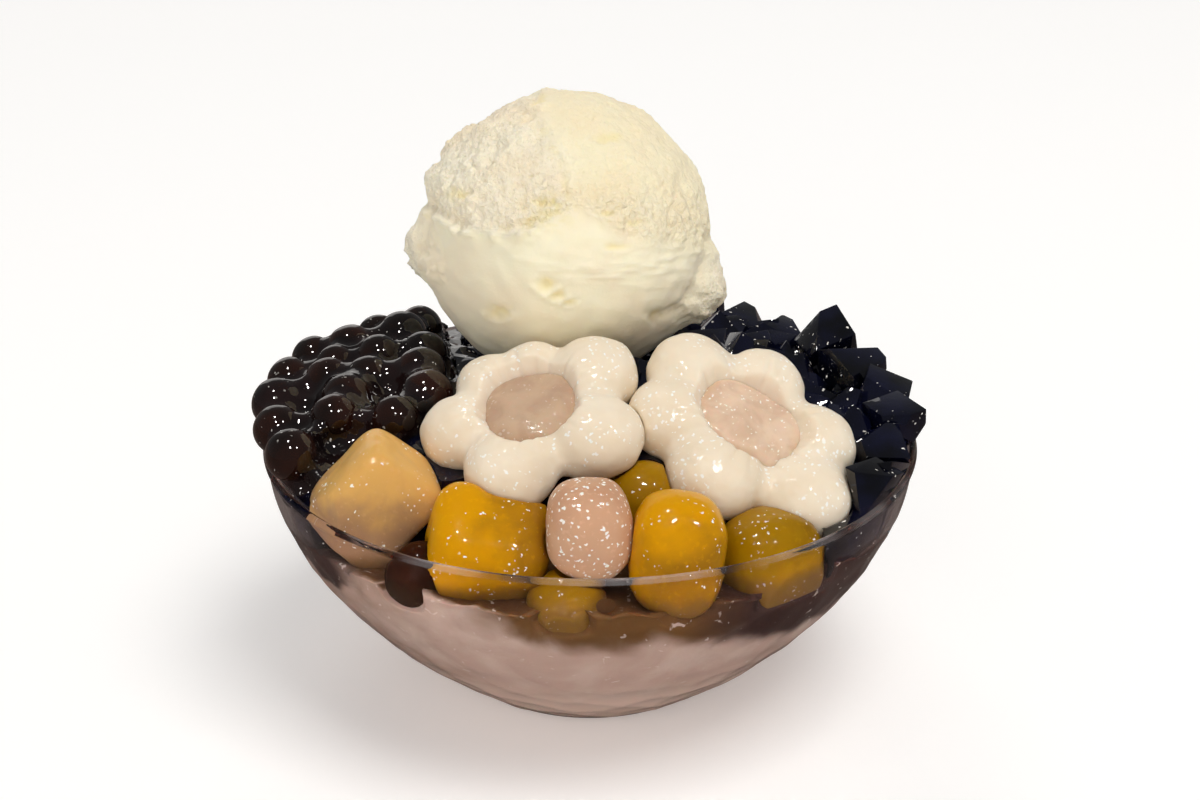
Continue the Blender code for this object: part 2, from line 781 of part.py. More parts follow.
def main():
    """Build every sub-part."""
    clear_scene()
    parts = new_collection(OBJECT_NAME)
    helpers = new_collection("cutters")

    finish_part(build_bowl(parts), "bowl", CLEAR_BOWL)
    scoop = build_scoop("ice_cream_scoop", parts)
    finish_part(scoop, "ice_cream_scoop", VANILLA)
    scoop_cutter = build_scoop("scoop_grown", helpers, GAP)
    flower_cutters = build_flowers(parts, helpers, scoop_cutter)
    front_cutters = build_front_pieces(parts, helpers, flower_cutters)

    milk = build_milk(parts, helpers)
    combine(milk, front_cutters, "DIFFERENCE", "MANIFOLD")
    finish_part(keep_largest(milk), "milk_ice", MILK_ICE)

    topping_cutters = [scoop_cutter] + flower_cutters + front_cutters
    pearl_core = build_pearl_core("pearl_heap", parts)
    combine(pearl_core, topping_cutters, "DIFFERENCE", "MANIFOLD")
    finish_part(heap(pearl_core, pearl_pieces(helpers)), "pearl_heap", DARK_PEARL)
    jelly_core = build_jelly_core("jelly_heap", parts, helpers)
    combine(jelly_core, topping_cutters, "DIFFERENCE", "MANIFOLD")
    finish_part(heap(jelly_core, cube_pieces(helpers)), "jelly_heap", BLACK_JELLY)

    drop(topping_cutters)


main()
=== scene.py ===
"""Looks of a grass jelly dessert in a clear bowl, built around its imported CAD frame.

Milk ice fills a thin hammered bowl. Syrupy tapioca pearls are heaped on its left and shards
of black jelly on its right. Taro and sweet potato pieces lean on the front wall, two rice
dumpling flowers lie on them, and a torn scoop of ice cream sits in the middle. Metres, +Z up;
the viewer stands at -Y.
"""

import logging
import math
import random
from dataclasses import dataclass
from enum import Enum
from typing import Callable, Iterable, Iterator, List, Optional, Sequence, Tuple, Union

import bpy
import numpy as np
from mathutils import Euler, Matrix, Vector, noise


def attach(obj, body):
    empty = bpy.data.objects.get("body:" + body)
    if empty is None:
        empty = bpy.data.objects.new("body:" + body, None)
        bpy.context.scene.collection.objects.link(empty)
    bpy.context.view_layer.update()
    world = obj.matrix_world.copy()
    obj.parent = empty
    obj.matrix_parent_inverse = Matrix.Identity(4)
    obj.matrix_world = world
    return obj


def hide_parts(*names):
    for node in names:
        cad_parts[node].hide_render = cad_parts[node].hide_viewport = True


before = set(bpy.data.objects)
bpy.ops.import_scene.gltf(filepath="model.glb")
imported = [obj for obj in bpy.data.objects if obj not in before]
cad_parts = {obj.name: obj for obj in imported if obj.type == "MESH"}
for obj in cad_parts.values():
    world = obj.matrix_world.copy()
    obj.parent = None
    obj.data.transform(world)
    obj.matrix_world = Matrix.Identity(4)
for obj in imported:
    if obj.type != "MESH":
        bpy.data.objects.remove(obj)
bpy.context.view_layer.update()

log = logging.getLogger("grass_jelly_dessert")

Object = bpy.types.Object
Socket = bpy.types.NodeSocket
Point = Tuple[float, float, float]
Rgb = Tuple[float, float, float]
Mask = Callable[[np.ndarray], np.ndarray]
Ring = Tuple[float, float, float, float, float]      # radius, height, two azimuths, pitch

BODY = "root"
MM = 0.001
PAINTED_GLINT = (255, 252, 244)    # painted glint: a white dot in the colour, standing for a wet grain's highlight
GAP = 0.0003             # between pieces that touch


class Slot(Enum):
    """The record's material slots."""

    BOWL = "clear_bowl"
    MILK = "milk_ice"
    PEARL = "tapioca_pearl"
    JELLY = "black_jelly"
    ICE_CREAM = "vanilla_ice_cream"
    DOUGH = "rice_dough"
    PASTE = "taro_paste"
    BEIGE = "beige_taro"
    YELLOW = "yellow_sweet_potato"
    AMBER = "amber_sweet_potato"
    PINK = "pink_taro"


# ------------------------------------------------------------------------------- mesh handling
def deselect() -> None:
    """Leave edit mode and select nothing."""
    if bpy.context.object and bpy.context.object.mode != "OBJECT":
        bpy.ops.object.mode_set(mode="OBJECT")
    bpy.ops.object.select_all(action="DESELECT")


def choose(*objects: Object) -> None:
    """Select these objects alone and make the first one active.

    Args:
        objects: what is selected.
    """
    deselect()
    for obj in objects:
        obj.select_set(True)
    bpy.context.view_layer.objects.active = objects[0]


def fresh(adder: Callable, **settings: object) -> Object:
    """A new primitive, added with nothing else selected.

    Args:
        adder: the primitive's operator.
        settings: the operator's size and place.

    Returns:
        The new object.
    """
    deselect()
    adder(**settings)
    return bpy.context.object


def apply(obj: Object, kind: str, **settings: object) -> None:
    """Give an object a modifier and apply it at once.

    Args:
        obj: the object.
        kind: the modifier's type.
        settings: the modifier's values.
    """
    choose(obj)
    modifier = obj.modifiers.new(kind.lower(), kind)
    for key, value in settings.items():
        setattr(modifier, key, value)
    bpy.ops.object.modifier_apply(modifier=modifier.name)


def join(objects: Sequence[Object]) -> Object:
    """Join objects into the first one.

    Args:
        objects: what is joined.

    Returns:
        The joined object.
    """
    choose(*objects)
    bpy.ops.object.join()
    return bpy.context.object


def discard(*objects: Object) -> None:
    """Delete helper objects."""
    choose(*objects)
    bpy.ops.object.delete()


def points_of(obj: Object) -> np.ndarray:
    """An object's vertices.

    Args:
        obj: the object.

    Returns:
        Their places, one row each.
    """
    flat = np.empty(len(obj.data.vertices) * 3)
    obj.data.vertices.foreach_get("co", flat)
    return flat.reshape(-1, 3)


def move_points(obj: Object, points: np.ndarray) -> None:
    """Move an object's vertices to new places."""
    obj.data.vertices.foreach_set("co", points.ravel())
    obj.data.update()


def normals_of(obj: Object) -> np.ndarray:
    """An object's vertex normals.

    Args:
        obj: the object.

    Returns:
        The normals, one row each.
    """
    flat = np.empty(len(obj.data.vertices) * 3)
    obj.data.vertex_normals.foreach_get("vector", flat)
    return flat.reshape(-1, 3)


def paint(obj: Object, name: str, values: np.ndarray) -> None:
    """Store one number for each vertex as an attribute that a finish can read."""
    layer = obj.data.attributes.new(name, "FLOAT", "POINT")
    layer.data.foreach_set("value", np.clip(values, 0.0, 1.0).astype(np.float32))


def grain(points: np.ndarray, scale: float, seed: float = 0.0) -> np.ndarray:
    """Smooth noise at each point, about -0.5 to 0.5, with features 1 / scale across."""
    shift = Vector((seed, seed * 1.7, -seed))
    return np.array([noise.noise(Vector(point) * scale + shift) for point in points])


def bell(distance: np.ndarray, width: float) -> np.ndarray:
    """A smooth bump of height 1 that falls off over a width."""
    return np.exp(-(distance / width) ** 2)


def ramp(values: np.ndarray, low: float, high: float) -> np.ndarray:
    """0 below low, 1 above high and a smooth step between them."""
    share = np.clip((values - low) / (high - low), 0.0, 1.0)
    return share * share * (3.0 - 2.0 * share)


def press(points: np.ndarray, centre: np.ndarray, walls: Sequence[Mask]) -> np.ndarray:
    """Draw points towards a centre until none lies in a wall.

    Args:
        points: the points, one row each.
        centre: a place that is clear of every wall.
        walls: what the points may not enter.

    Returns:
        The points, each as far out as it can be.
    """
    arms = points - centre
    inner = np.zeros(len(points))
    outer = np.ones(len(points))
    touching = np.any([wall(points) for wall in walls], axis=0)
    for _halving in range(13):
        middle = (inner + outer) / 2
        place = centre + arms * middle[:, None]
        hit = np.any([wall(place) for wall in walls], axis=0)
        outer = np.where(hit, middle, outer)
        inner = np.where(hit, inner, middle)
    return centre + arms * np.where(touching, inner, 1.0)[:, None]


def turned(profile: Sequence[Tuple[float, float]], steps: int) -> Object:
    """A closed body turned about Z from a profile of radii and heights.

    Args:
        profile: its points, from the axis round to the axis.
        steps: how many facets there are round it.

    Returns:
        The object, its normals pointing outwards.
    """
    obj = fresh(bpy.ops.mesh.primitive_plane_add, size=MM)
    bpy.ops.object.mode_set(mode="EDIT")
    bpy.ops.mesh.merge(type="CENTER")
    bpy.ops.transform.translate(value=(profile[0][0], 0.0, profile[0][1]))
    for here, there in zip(profile, profile[1:]):
        step = (there[0] - here[0], 0.0, there[1] - here[1])
        bpy.ops.mesh.extrude_region_move(TRANSFORM_OT_translate={"value": step})
    bpy.ops.object.mode_set(mode="OBJECT")
    apply(obj, "SCREW", steps=steps, render_steps=steps, use_merge_vertices=True,
          merge_threshold=0.00001)
    bpy.ops.object.mode_set(mode="EDIT")
    bpy.ops.mesh.select_all(action="SELECT")
    bpy.ops.mesh.normals_make_consistent(inside=False)
    bpy.ops.object.mode_set(mode="OBJECT")
    return obj


def settle(obj: Object, name: str, material: bpy.types.Material, slot: Slot, *nodes: str) -> None:
    """Name a finished piece, dress it and hand it to the frame.

    Args:
        obj: the piece, its place in its mesh.
        name: its name.
        material: its finish.
        slot: the record's slot for that finish; not used.
        nodes: the CAD nodes that it stands for.
    """
    choose(obj)
    bpy.ops.object.transform_apply(location=True, rotation=True, scale=True)
    bpy.ops.object.shade_smooth()
    obj.name = name
    obj.data.name = name
    obj.data.materials.clear()
    obj.data.materials.append(material)
    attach(obj, BODY)
    if nodes:
        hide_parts(*nodes)
    obj.data.calc_loop_triangles()
    log.info("%s: %d triangles", name, len(obj.data.loop_triangles))


# ------------------------------------------------------------------------------------ finishes
def linear(colour: Rgb) -> Tuple[float, float, float, float]:
    """A colour of 0 to 255 a channel as the shader wants it."""
    return (*((channel / 255.0) ** 2.2 for channel in colour), 1.0)


class Recipe:
    """A material in the making, patterned on Object coordinates."""

    def __init__(self, name: str) -> None:
        """Start from a plain Principled material.

        Args:
            name: the material's name.
        """
        self.material = bpy.data.materials.new(name)
        self.material.use_nodes = True
        self.tree = self.material.node_tree
        self.shader = self.tree.nodes["Principled BSDF"]
        self.place = self.add("TexCoord").outputs["Object"]

    def add(self, kind: str, inputs: Optional[dict] = None, **settings: object) -> bpy.types.Node:
        """Add a node.

        Args:
            kind: the end of the node's type name.
            inputs: a value or a socket for each input, by name or number.
            settings: the node's own options.

        Returns:
            The node.
        """
        node = self.tree.nodes.new("ShaderNode" + kind)
        for key, value in settings.items():
            setattr(node, key, value)
        for key, value in (inputs or {}).items():
            self.feed(node.inputs[key], value)
        return node

    def feed(self, socket: Socket, value: object) -> None:
        """Link a socket to another, or set its value.

        Args:
            socket: the input.
            value: another socket, or a plain value.
        """
        if isinstance(value, bpy.types.NodeSocket):
            self.tree.links.new(value, socket)
        else:
            socket.default_value = value

    def set(self, **values: object) -> None:
        """Feed the shader's own inputs; an underscore stands for a space."""
        for key, value in values.items():
            self.feed(self.shader.inputs[key.replace("_", " ")], value)

    def noise(self, scale: float, detail: float = 3.0, warp: float = 0.0) -> Socket:
        """Noise with features 1 / scale across, from 0 to 1."""
        inputs = {"Vector": self.place, "Scale": scale, "Detail": detail, "Distortion": warp}
        return self.add("TexNoise", inputs).outputs["Fac"]

    def glints(self, scale: float, size: float, patches: Socket) -> Socket:
        """Painted glints: tiny white dots in the colour, standing for wet grains that catch the
        light.

        Args:
            scale: they lie 1 / scale apart.
            size: their radius, as a share of the distance between them.
            patches: where they lie, from 0 to 1.

        Returns:
            Their share at each point.
        """
        drawn = self.add("TexNoise", {"Vector": self.place, "Scale": 1.3 * scale, "Detail": 1.0})
        moved = self.add("VectorMath", {0: drawn.outputs["Color"], 1: (0.9 / scale,) * 3,
                                        2: self.place}, operation="MULTIPLY_ADD")
        dots = self.add("TexVoronoi", {"Vector": moved.outputs["Vector"], "Scale": scale})
        uneven = self.sum(self.noise(0.4 * scale, 1.0), 0.3, "MULTIPLY")
        apart = self.sum(dots.outputs["Distance"], uneven)
        return self.sum(self.steps(apart, size, 0.7 * size), patches, "MULTIPLY")

    def steps(self, value: Socket, low: float, high: float, top: float = 1.0) -> Socket:
        """A number mapped smoothly onto a range.

        Args:
            value: the number.
            low: where the range starts, at 0.
            high: where it ends.
            top: the number that it ends at.

        Returns:
            The mapped number.
        """
        inputs = {"Value": value, "From Min": low, "From Max": high, "To Max": top}
        node = self.add("MapRange", inputs, interpolation_type="SMOOTHSTEP")
        return node.outputs["Result"]

    def sum(self, first: Union[Socket, float], second: Union[Socket, float],
            operation: str = "ADD") -> Socket:
        """Two numbers brought together by a sum or another operation."""
        return self.add("Math", {0: first, 1: second}, operation=operation).outputs["Value"]

    def attribute(self, name: str) -> Socket:
        """A painted attribute."""
        return self.add("Attribute", attribute_name=name).outputs["Fac"]

    def around(self, value: Socket, spread: float = 1.0) -> Socket:
        """A number from 0 to 1 moved so that its middle is 0, and spread."""
        centred = self.sum(value, 0.5, "SUBTRACT")
        return centred if spread == 1.0 else self.sum(centred, spread, "MULTIPLY")

    def show(self, surface: Socket) -> None:
        """Make a shader mix the material's surface."""
        self.tree.links.new(surface, self.tree.nodes["Material Output"].inputs["Surface"])

    def blend(self, share: Union[Socket, float], first: object, second: object,
              way: str = "MIX") -> Socket:
        """Two colours mixed by a share.

        Args:
            share: 0 for the first colour and 1 for the second.
            first: a colour of 0 to 255 a channel, or a socket.
            second: the same.
            way: how they mix.

        Returns:
            The mixed colour.
        """
        colours = [linear(colour) if isinstance(colour, tuple) else colour
                   for colour in (first, second)]
        node = self.add("Mix", data_type="RGBA", blend_type=way)
        self.feed(node.inputs["Factor"], share)
        for socket, colour in zip((node.inputs[6], node.inputs[7]), colours):
            self.feed(socket, colour)
        return node.outputs[2]

    def bump(self, height: Socket, depth: float, strength: float = 1.0,
             under: Optional[Socket] = None) -> Socket:
        """Relief in the surface's normals.

        Args:
            height: from 0 to 1.
            depth: what 1 stands for, in metres.
            strength: how much of it shows.
            under: relief that it lies on.

        Returns:
            The normals.
        """
        inputs = {"Height": height, "Distance": depth, "Strength": strength}
        if under is not None:
            inputs["Normal"] = under
        return self.add("Bump", inputs).outputs["Normal"]


@dataclass(frozen=True)
class SoftFinish:
    """A wet, see-through soft piece: its colours, painted lit and shaded, its painted glints, and
    how grainy and glossy it is.
    """

    name: str
    # bright and deep: the colours of its painted lit side and its painted shaded side
    bright: Rgb
    deep: Rgb
    glow: Rgb
    # sparkle: how strongly the painted glints show
    sparkle: float = 0.5
    speckle: float = 0.2
    roughness: float = 0.28
    glint_free: float = 0.48                # share of its skin without painted glints
    coat: float = 0.4
    # the painted glints' size, as a share of the distance between them
    glint_size: float = 0.40
    haze_and_shade: float = 0.75               # how far its lower end, below the milk line, darkens to brown: partly painted shade, partly the syrupy milk over it

    def material(self) -> bpy.types.Material:
        """The node material: a painted lit side and a painted shaded side, a cloudy inside,
        painted glints, and painted shade browning its lower end.

        Returns:
            The material.
        """
        look = Recipe(self.name)
        cloud = look.noise(130.0, 4.0, 0.4)
        # painted light and shade: the bright colour on the painted lit side, the deep one away
        # from it, stirred by random cloudy tone
        side = look.sum(look.attribute("painted_lit_side"), look.around(cloud))
        colour = look.blend(look.steps(side, 0.15, 0.85), self.deep, self.bright)
        flecks = look.steps(look.noise(900.0, 2.0), 0.56, 0.72, self.speckle)
        colour = look.blend(flecks, colour, self.glow)
        # painted glints: white dots in patches, standing for light caught by wet grains
        patches = look.steps(look.noise(170.0, 2.0), self.glint_free, self.glint_free + 0.06, self.sparkle)
        colour = look.blend(look.glints(800.0, self.glint_size, patches), colour, PAINTED_GLINT)
        # painted shade with the syrupy milk: browner and darker at its lower end, below the milk
        # line
        sunk = look.sum(look.attribute("sunk"), look.around(look.noise(150.0)))
        colour = look.blend(look.steps(sunk, 0.1, 1.0, self.haze_and_shade), colour, (118, 88, 52))
        relief = look.bump(look.noise(240.0, 3.0), 0.0003, 0.5)
        look.set(Base_Color=colour, Roughness=self.roughness, Normal=relief,
                 Specular_IOR_Level=0.04, Subsurface_Weight=0.45, Subsurface_Scale=0.0022,
                 Subsurface_Radius=linear(self.glow)[:3], Coat_Weight=self.coat,
                 Coat_Roughness=0.05, Coat_Normal=relief, IOR=1.42)
        return look.material


@dataclass(frozen=True)
class DarkFinish:
    """A near-black wet finish: its colour and tint, its relief and gloss."""

    name: str
    deep: Rgb
    tint: Rgb
    roughness: float = 0.09
    ripple: float = 0.0002
    ripple_scale: float = 260.0
    painted_glints: float = 0.5               # how strongly the painted glints on it show

    def material(self) -> bpy.types.Material:
        """The node material: dark, with a tint in patches, a thin uneven film of syrup and painted
        glints.

        Returns:
            The material.
        """
        look = Recipe(self.name)
        colour = look.blend(look.steps(look.noise(90.0, 3.0), 0.35, 0.7), self.deep, self.tint)
        relief = look.bump(look.noise(self.ripple_scale, 2.0, 0.3), self.ripple, 0.8)
        # painted glints: white dots in patches, standing for light caught by tiny drops
        patches = look.steps(look.noise(170.0, 2.0), 0.52, 0.58, self.painted_glints)
        colour = look.blend(look.glints(620.0, 0.34, patches), colour, PAINTED_GLINT)
        look.set(Base_Color=colour, Roughness=self.roughness, Normal=relief, IOR=1.36,
                 Coat_Weight=0.4, Coat_Roughness=0.04, Coat_Normal=relief)
        return look.material


def glass_finish(name: str, tint: Rgb, roughness: float, clear: float) -> bpy.types.Material:
    """Clear plastic, a little milky in patches on its bead as a painted highlight, that lets lamps
    through to what is behind it.

    Args:
        name: the material's name.
        tint: its faint colour.
        roughness: of its surface.
        clear: share of a lamp's light that passes.

    Returns:
        The material.
    """
    look = Recipe(name)
    relief = look.bump(look.noise(140.0, 2.0), 0.00012, 0.6)
    # painted highlight: the bead lets less through in patches and shows its pale colour there
    painted_rim_sheen = look.sum(look.attribute("bead"), look.noise(45.0), "MULTIPLY")
    through = look.sum(1.0, look.steps(painted_rim_sheen, 0.35, 0.70, 0.16), "SUBTRACT")
    look.set(Base_Color=linear(tint), Roughness=roughness, IOR=1.20,
             Transmission_Weight=through, Normal=relief)
    shade = look.add("LightPath").outputs["Is Shadow Ray"]
    veil = look.add("BsdfTransparent", {"Color": (clear, clear, clear, 1.0)})
    mix = look.add("MixShader", {"Fac": shade, 1: look.shader.outputs["BSDF"],
                                 2: veil.outputs["BSDF"]})
    look.show(mix.outputs["Shader"])
    return look.material


def milk_finish() -> bpy.types.Material:
    """Crushed milk ice seen through the wall, stained by syrup and dark jelly behind it, with
    painted shade and painted floor light.

    Returns:
        The material.
    """
    look = Recipe("milk_ice_finish")
    cloud = look.noise(70.0, 5.0, 0.6)
    colour = look.blend(look.steps(cloud, 0.35, 0.7), (190, 162, 147), (206, 182, 168))
    ragged = look.around(look.noise(120.0, 4.0, 0.5), 0.6)
    # painted shade under the front pieces and low on the left, with the syrup's brown on the top
    haze_and_shade = look.steps(look.sum(look.attribute("haze_and_shade"), ragged), 0.1, 0.9)
    colour = look.blend(haze_and_shade, colour, (104, 74, 44))
    stain = look.steps(look.sum(look.attribute("stain"), ragged), 0.1, 0.9)
    colour = look.blend(stain, colour, (64, 46, 42))
    # painted light from the floor: paler towards the bottom
    colour = look.blend(look.attribute("low"), colour, (240, 214, 196))
    flecks = look.steps(look.noise(420.0, 2.0, 0.8), 0.66, 0.74, 0.55)
    colour = look.blend(flecks, colour, (226, 208, 196))
    relief = look.bump(look.noise(300.0, 4.0), 0.0006, 0.5)
    look.set(Base_Color=colour, Roughness=0.42, Normal=relief, Subsurface_Weight=0.15,
             Subsurface_Scale=0.002, IOR=1.36, Specular_IOR_Level=0.1)
    return look.material


def ice_cream_finish() -> bpy.types.Material:
    """Vanilla ice cream: crumbly pale crown, smooth yellower skin, butter-yellow painted shade in
    its hollows.

    Returns:
        The material.
    """
    look = Recipe("vanilla_ice_cream_finish")
    cloud = look.noise(60.0, 4.0)
    smooth = look.blend(look.steps(cloud, 0.3, 0.7), (252, 235, 206), (255, 245, 216))
    torn = look.blend(look.steps(cloud, 0.3, 0.7), (254, 236, 208), (255, 243, 220))
    colour = look.blend(look.attribute("torn"), smooth, torn)
    # painted shade: yellower in the pits, the crack and the crumb valleys, with the right lobe's
    # own yellower tone
    colour = look.blend(look.attribute("hollow"), colour, (250, 232, 168))
    fine = look.noise(1800.0, 2.0)
    crumbs = look.sum(look.noise(1300.0, 2.0), look.attribute("torn"), "MULTIPLY")
    relief = look.bump(fine, 0.0001, 0.5)
    relief = look.bump(crumbs, 0.0008, 0.8, relief)
    ragged = look.sum(look.noise(560.0, 3.0), look.sum(look.attribute("torn"), 0.08), "MULTIPLY")
    relief = look.bump(ragged, 0.0014, 0.8, relief)
    look.set(Base_Color=colour, Roughness=0.6, Normal=relief, Subsurface_Weight=0.35,
             Subsurface_Scale=0.002, Subsurface_Radius=(1.0, 0.85, 0.6), IOR=1.38,
             Specular_IOR_Level=0.05)
    return look.material


def dough_finish() -> bpy.types.Material:
    """Boiled rice dough: warm white, soft inside, with painted glints in patches, pink by the
    paste and painted shade underneath.

    Returns:
        The material.
    """
    look = Recipe("rice_dough_finish")
    cloud = look.noise(110.0, 3.0)
    colour = look.blend(look.steps(cloud, 0.3, 0.7), (238, 222, 197), (244, 230, 208))
    # pink by the paste, and painted shade underneath
    colour = look.blend(look.attribute("blush_and_shade"), colour, (222, 196, 176))
    # painted glints: white dots in patches, standing for wet grains catching the light
    patches = look.steps(look.noise(120.0, 2.0), 0.44, 0.50)
    colour = look.blend(look.glints(760.0, 0.45, patches), colour, PAINTED_GLINT)
    relief = look.bump(look.noise(300.0, 3.0), 0.0002, 0.5)
    look.set(Base_Color=colour, Roughness=0.42, Normal=relief, Subsurface_Weight=0.5,
             Subsurface_Scale=0.002, Subsurface_Radius=(1.0, 0.8, 0.65), Coat_Weight=0.18,
             Coat_Roughness=0.08, Coat_Normal=relief, Specular_IOR_Level=0.05, IOR=1.42)
    return look.material


def paste_finish(name: str, pale: Rgb, deep: Rgb, sparkle: float) -> bpy.types.Material:
    """Taro paste in a flower's middle.

    Args:
        name: the material's name.
        pale: its lighter colour.
        deep: its darker colour.
        sparkle: how strongly its painted glints show.

    Returns:
        The material.
    """
    look = Recipe(name)
    colour = look.blend(look.steps(look.noise(170.0, 4.0, 0.5), 0.3, 0.7), deep, pale)
    # painted glints: white dots in patches, standing for wet grains catching the light
    patches = look.steps(look.noise(150.0), 0.42, 0.52, sparkle)
    colour = look.blend(look.glints(850.0, 0.40, patches), colour, PAINTED_GLINT)
    relief = look.bump(look.noise(420.0, 4.0), 0.0003, 0.5)
    look.set(Base_Color=colour, Roughness=0.4, Normal=relief, Subsurface_Weight=0.3,
             Subsurface_Scale=0.002, Coat_Weight=0.25, Coat_Roughness=0.12, Coat_Normal=relief,
             Specular_IOR_Level=0.05)
    return look.material


# -------------------------------------------------------------------------------------- shapes
def placed(centre: Point, turn: Point = (0.0, 0.0, 0.0)) -> Matrix:
    """A placement from a centre and a turn in degrees."""
    angles = [math.radians(angle) for angle in turn]
    return Matrix.Translation(centre) @ Euler(angles).to_matrix().to_4x4()


@dataclass(frozen=True)
class Lump:
    """A rounded soft form; a boxiness of 2 is an ellipsoid, and more squares it off."""

    place: Matrix
    half: Point
    boxiness: float = 2.0

    @property
    def centre(self) -> np.ndarray:
        """Its middle."""
        return np.array(self.place.translation)

    def local(self, points: np.ndarray) -> np.ndarray:
        """Points in the lump's own axes."""
        return (points - self.centre) @ np.array(self.place.to_3x3())

    def share(self, points: np.ndarray, margin: float = 0.0) -> np.ndarray:
        """How far out points lie: 0 in the middle and 1 on the skin, with its margin."""
        share = np.abs(self.local(points)) / (np.array(self.half) + margin)
        return (share ** self.boxiness).sum(1) ** (1.0 / self.boxiness)

    def holds(self, points: np.ndarray, margin: float = GAP) -> np.ndarray:
        """Which points lie in the lump, grown by a margin."""
        return self.share(points, margin) < 1.0

    def body(self, detail: int) -> Object:
        """The lump as a mesh, modelled from a ball of small triangles.

        Args:
            detail: how often the ball is subdivided.

        Returns:
            The object.
        """
        obj = fresh(bpy.ops.mesh.primitive_ico_sphere_add, subdivisions=detail, radius=1.0)
        ball = points_of(obj)
        reach = (np.abs(ball) ** self.boxiness).sum(1) ** (1.0 / self.boxiness)
        local = ball / reach[:, None] * np.array(self.half)
        move_points(obj, local @ np.array(self.place.to_3x3()).T + self.centre)
        return obj


@dataclass
class ClearBowl:
    """The thin clear bowl: flat base, bellied and lightly hammered side, beaded rim."""

    height: float = 0.0550
    base_radius: float = 0.0280
    rim_radius: float = 0.0699
    wall: float = 0.0014
    bead: float = 0.0009
    bulge: float = 0.90
    steps: int = 288
    dimple_depth: float = 0.00070
    dimple_pitch: float = 0.0075
    dimples_end: float = 0.0470      # no dimples above this height

    def side(self, inset: float) -> Tuple[np.ndarray, np.ndarray]:
        """The side's section.

        Args:
            inset: how far it is set inwards from the outside.

        Returns:
            Its radii and its heights.
        """
        share = np.linspace(0.0, 1.0, 400)
        belly = np.sin(math.pi / 2 * share ** self.bulge)
        radii = self.base_radius + (self.rim_radius - self.wall / 2 - self.base_radius) * belly
        heights = self.height * share
        slope_r, slope_z = np.gradient(radii), np.gradient(heights)
        length = np.hypot(slope_r, slope_z)
        return radii - inset * slope_z / length, heights + inset * slope_r / length

    def radius(self, heights: np.ndarray, inset: float) -> np.ndarray:
        """Radius of the inset side at heights."""
        radii, levels = self.side(inset)
        return np.interp(heights, levels, radii)

    def rise(self, low: float, high: float, inset: float, pitch: float) -> List[tuple]:
        """Profile points up the inset side.

        Args:
            low: the height they start at.
            high: the height they end at.
            inset: how far they are set inwards from the outside.
            pitch: the most that lies between two of them.

        Returns:
            Their radii and heights.
        """
        radii, heights = self.side(inset)
        keep = (heights > low) & (heights < high)
        radii = np.r_[np.interp(low, heights, radii), radii[keep], np.interp(high, heights, radii)]
        heights = np.r_[low, heights[keep], high]
        along = np.r_[0.0, np.cumsum(np.hypot(np.diff(radii), np.diff(heights)))]
        stops = np.linspace(0.0, along[-1], int(along[-1] / pitch) + 2)
        return list(zip(np.interp(stops, along, radii), np.interp(stops, along, heights)))

    def room(self, heights: np.ndarray) -> np.ndarray:
        """How far out a piece may reach, clear of the wall and the bead.

        Args:
            heights: where it is asked.

        Returns:
            The radius at each height.
        """
        inner = self.radius(heights, self.wall + GAP)
        bead_inner = self.rim_radius - 2 * self.bead - GAP
        return np.where(heights > self.height - 3 * self.bead, bead_inner, inner)

    def keeps_out(self, points: np.ndarray) -> np.ndarray:
        """Which points lie in the wall, in the bead or outside the bowl's room."""
        return np.hypot(points[:, 0], points[:, 1]) > self.room(points[:, 2])

    def dimples(self, points: np.ndarray) -> np.ndarray:
        """How far the hammered dimples sink.

        Args:
            points: points of the outside.

        Returns:
            The share of the full depth at each of them.
        """
        near = np.array([noise.voronoi(Vector(point) / self.dimple_pitch)[0][0]
                         for point in points])
        fade = 1.0 - ramp(points[:, 2], self.dimples_end - 0.008, self.dimples_end)
        return np.clip(1.0 - 1.3 * near ** 2, 0.0, 1.0) * fade

    def build(self) -> None:
        """Spin the section, hammer its outside and dress it."""
        top = self.height - 2.2 * self.bead
        middle = (self.rim_radius - self.bead, self.height - self.bead)
        bead = [(middle[0] + self.bead * math.cos(angle), middle[1] + self.bead * math.sin(angle))
                for angle in np.radians(np.linspace(205.0, -20.0, 14))]
        inner = self.rise(self.wall, top, self.wall, 0.0022)
        outer = self.rise(0.0, top, 0.0, 0.0012)
        floor = [(0.0, self.wall), (inner[0][0] / 2, self.wall)]
        foot = [(outer[0][0] / 2, 0.0), (0.0, 0.0)]
        bowl = turned(floor + inner + bead + outer[::-1] + foot, self.steps)
        points = points_of(bowl)
        radius = np.hypot(points[:, 0], points[:, 1])
        outside = radius > self.radius(points[:, 2], self.wall / 2)
        outside &= points[:, 2] > 0.0002
        sink = np.where(outside, self.dimples(points) * self.dimple_depth, 0.0)
        scale = 1.0 - sink / np.maximum(radius, MM)
        move_points(bowl, points * np.stack([scale, scale, np.ones(len(points))], axis=1))
        # where the bead's painted highlight may lie
        paint(bowl, "bead", ramp(points[:, 2], top + 0.0005, top + 0.0010))
        settle(bowl, "bowl_clear", glass_finish("clear_bowl_finish", (246, 242, 245), 0.03, 0.93),
               Slot.BOWL, "bowl")


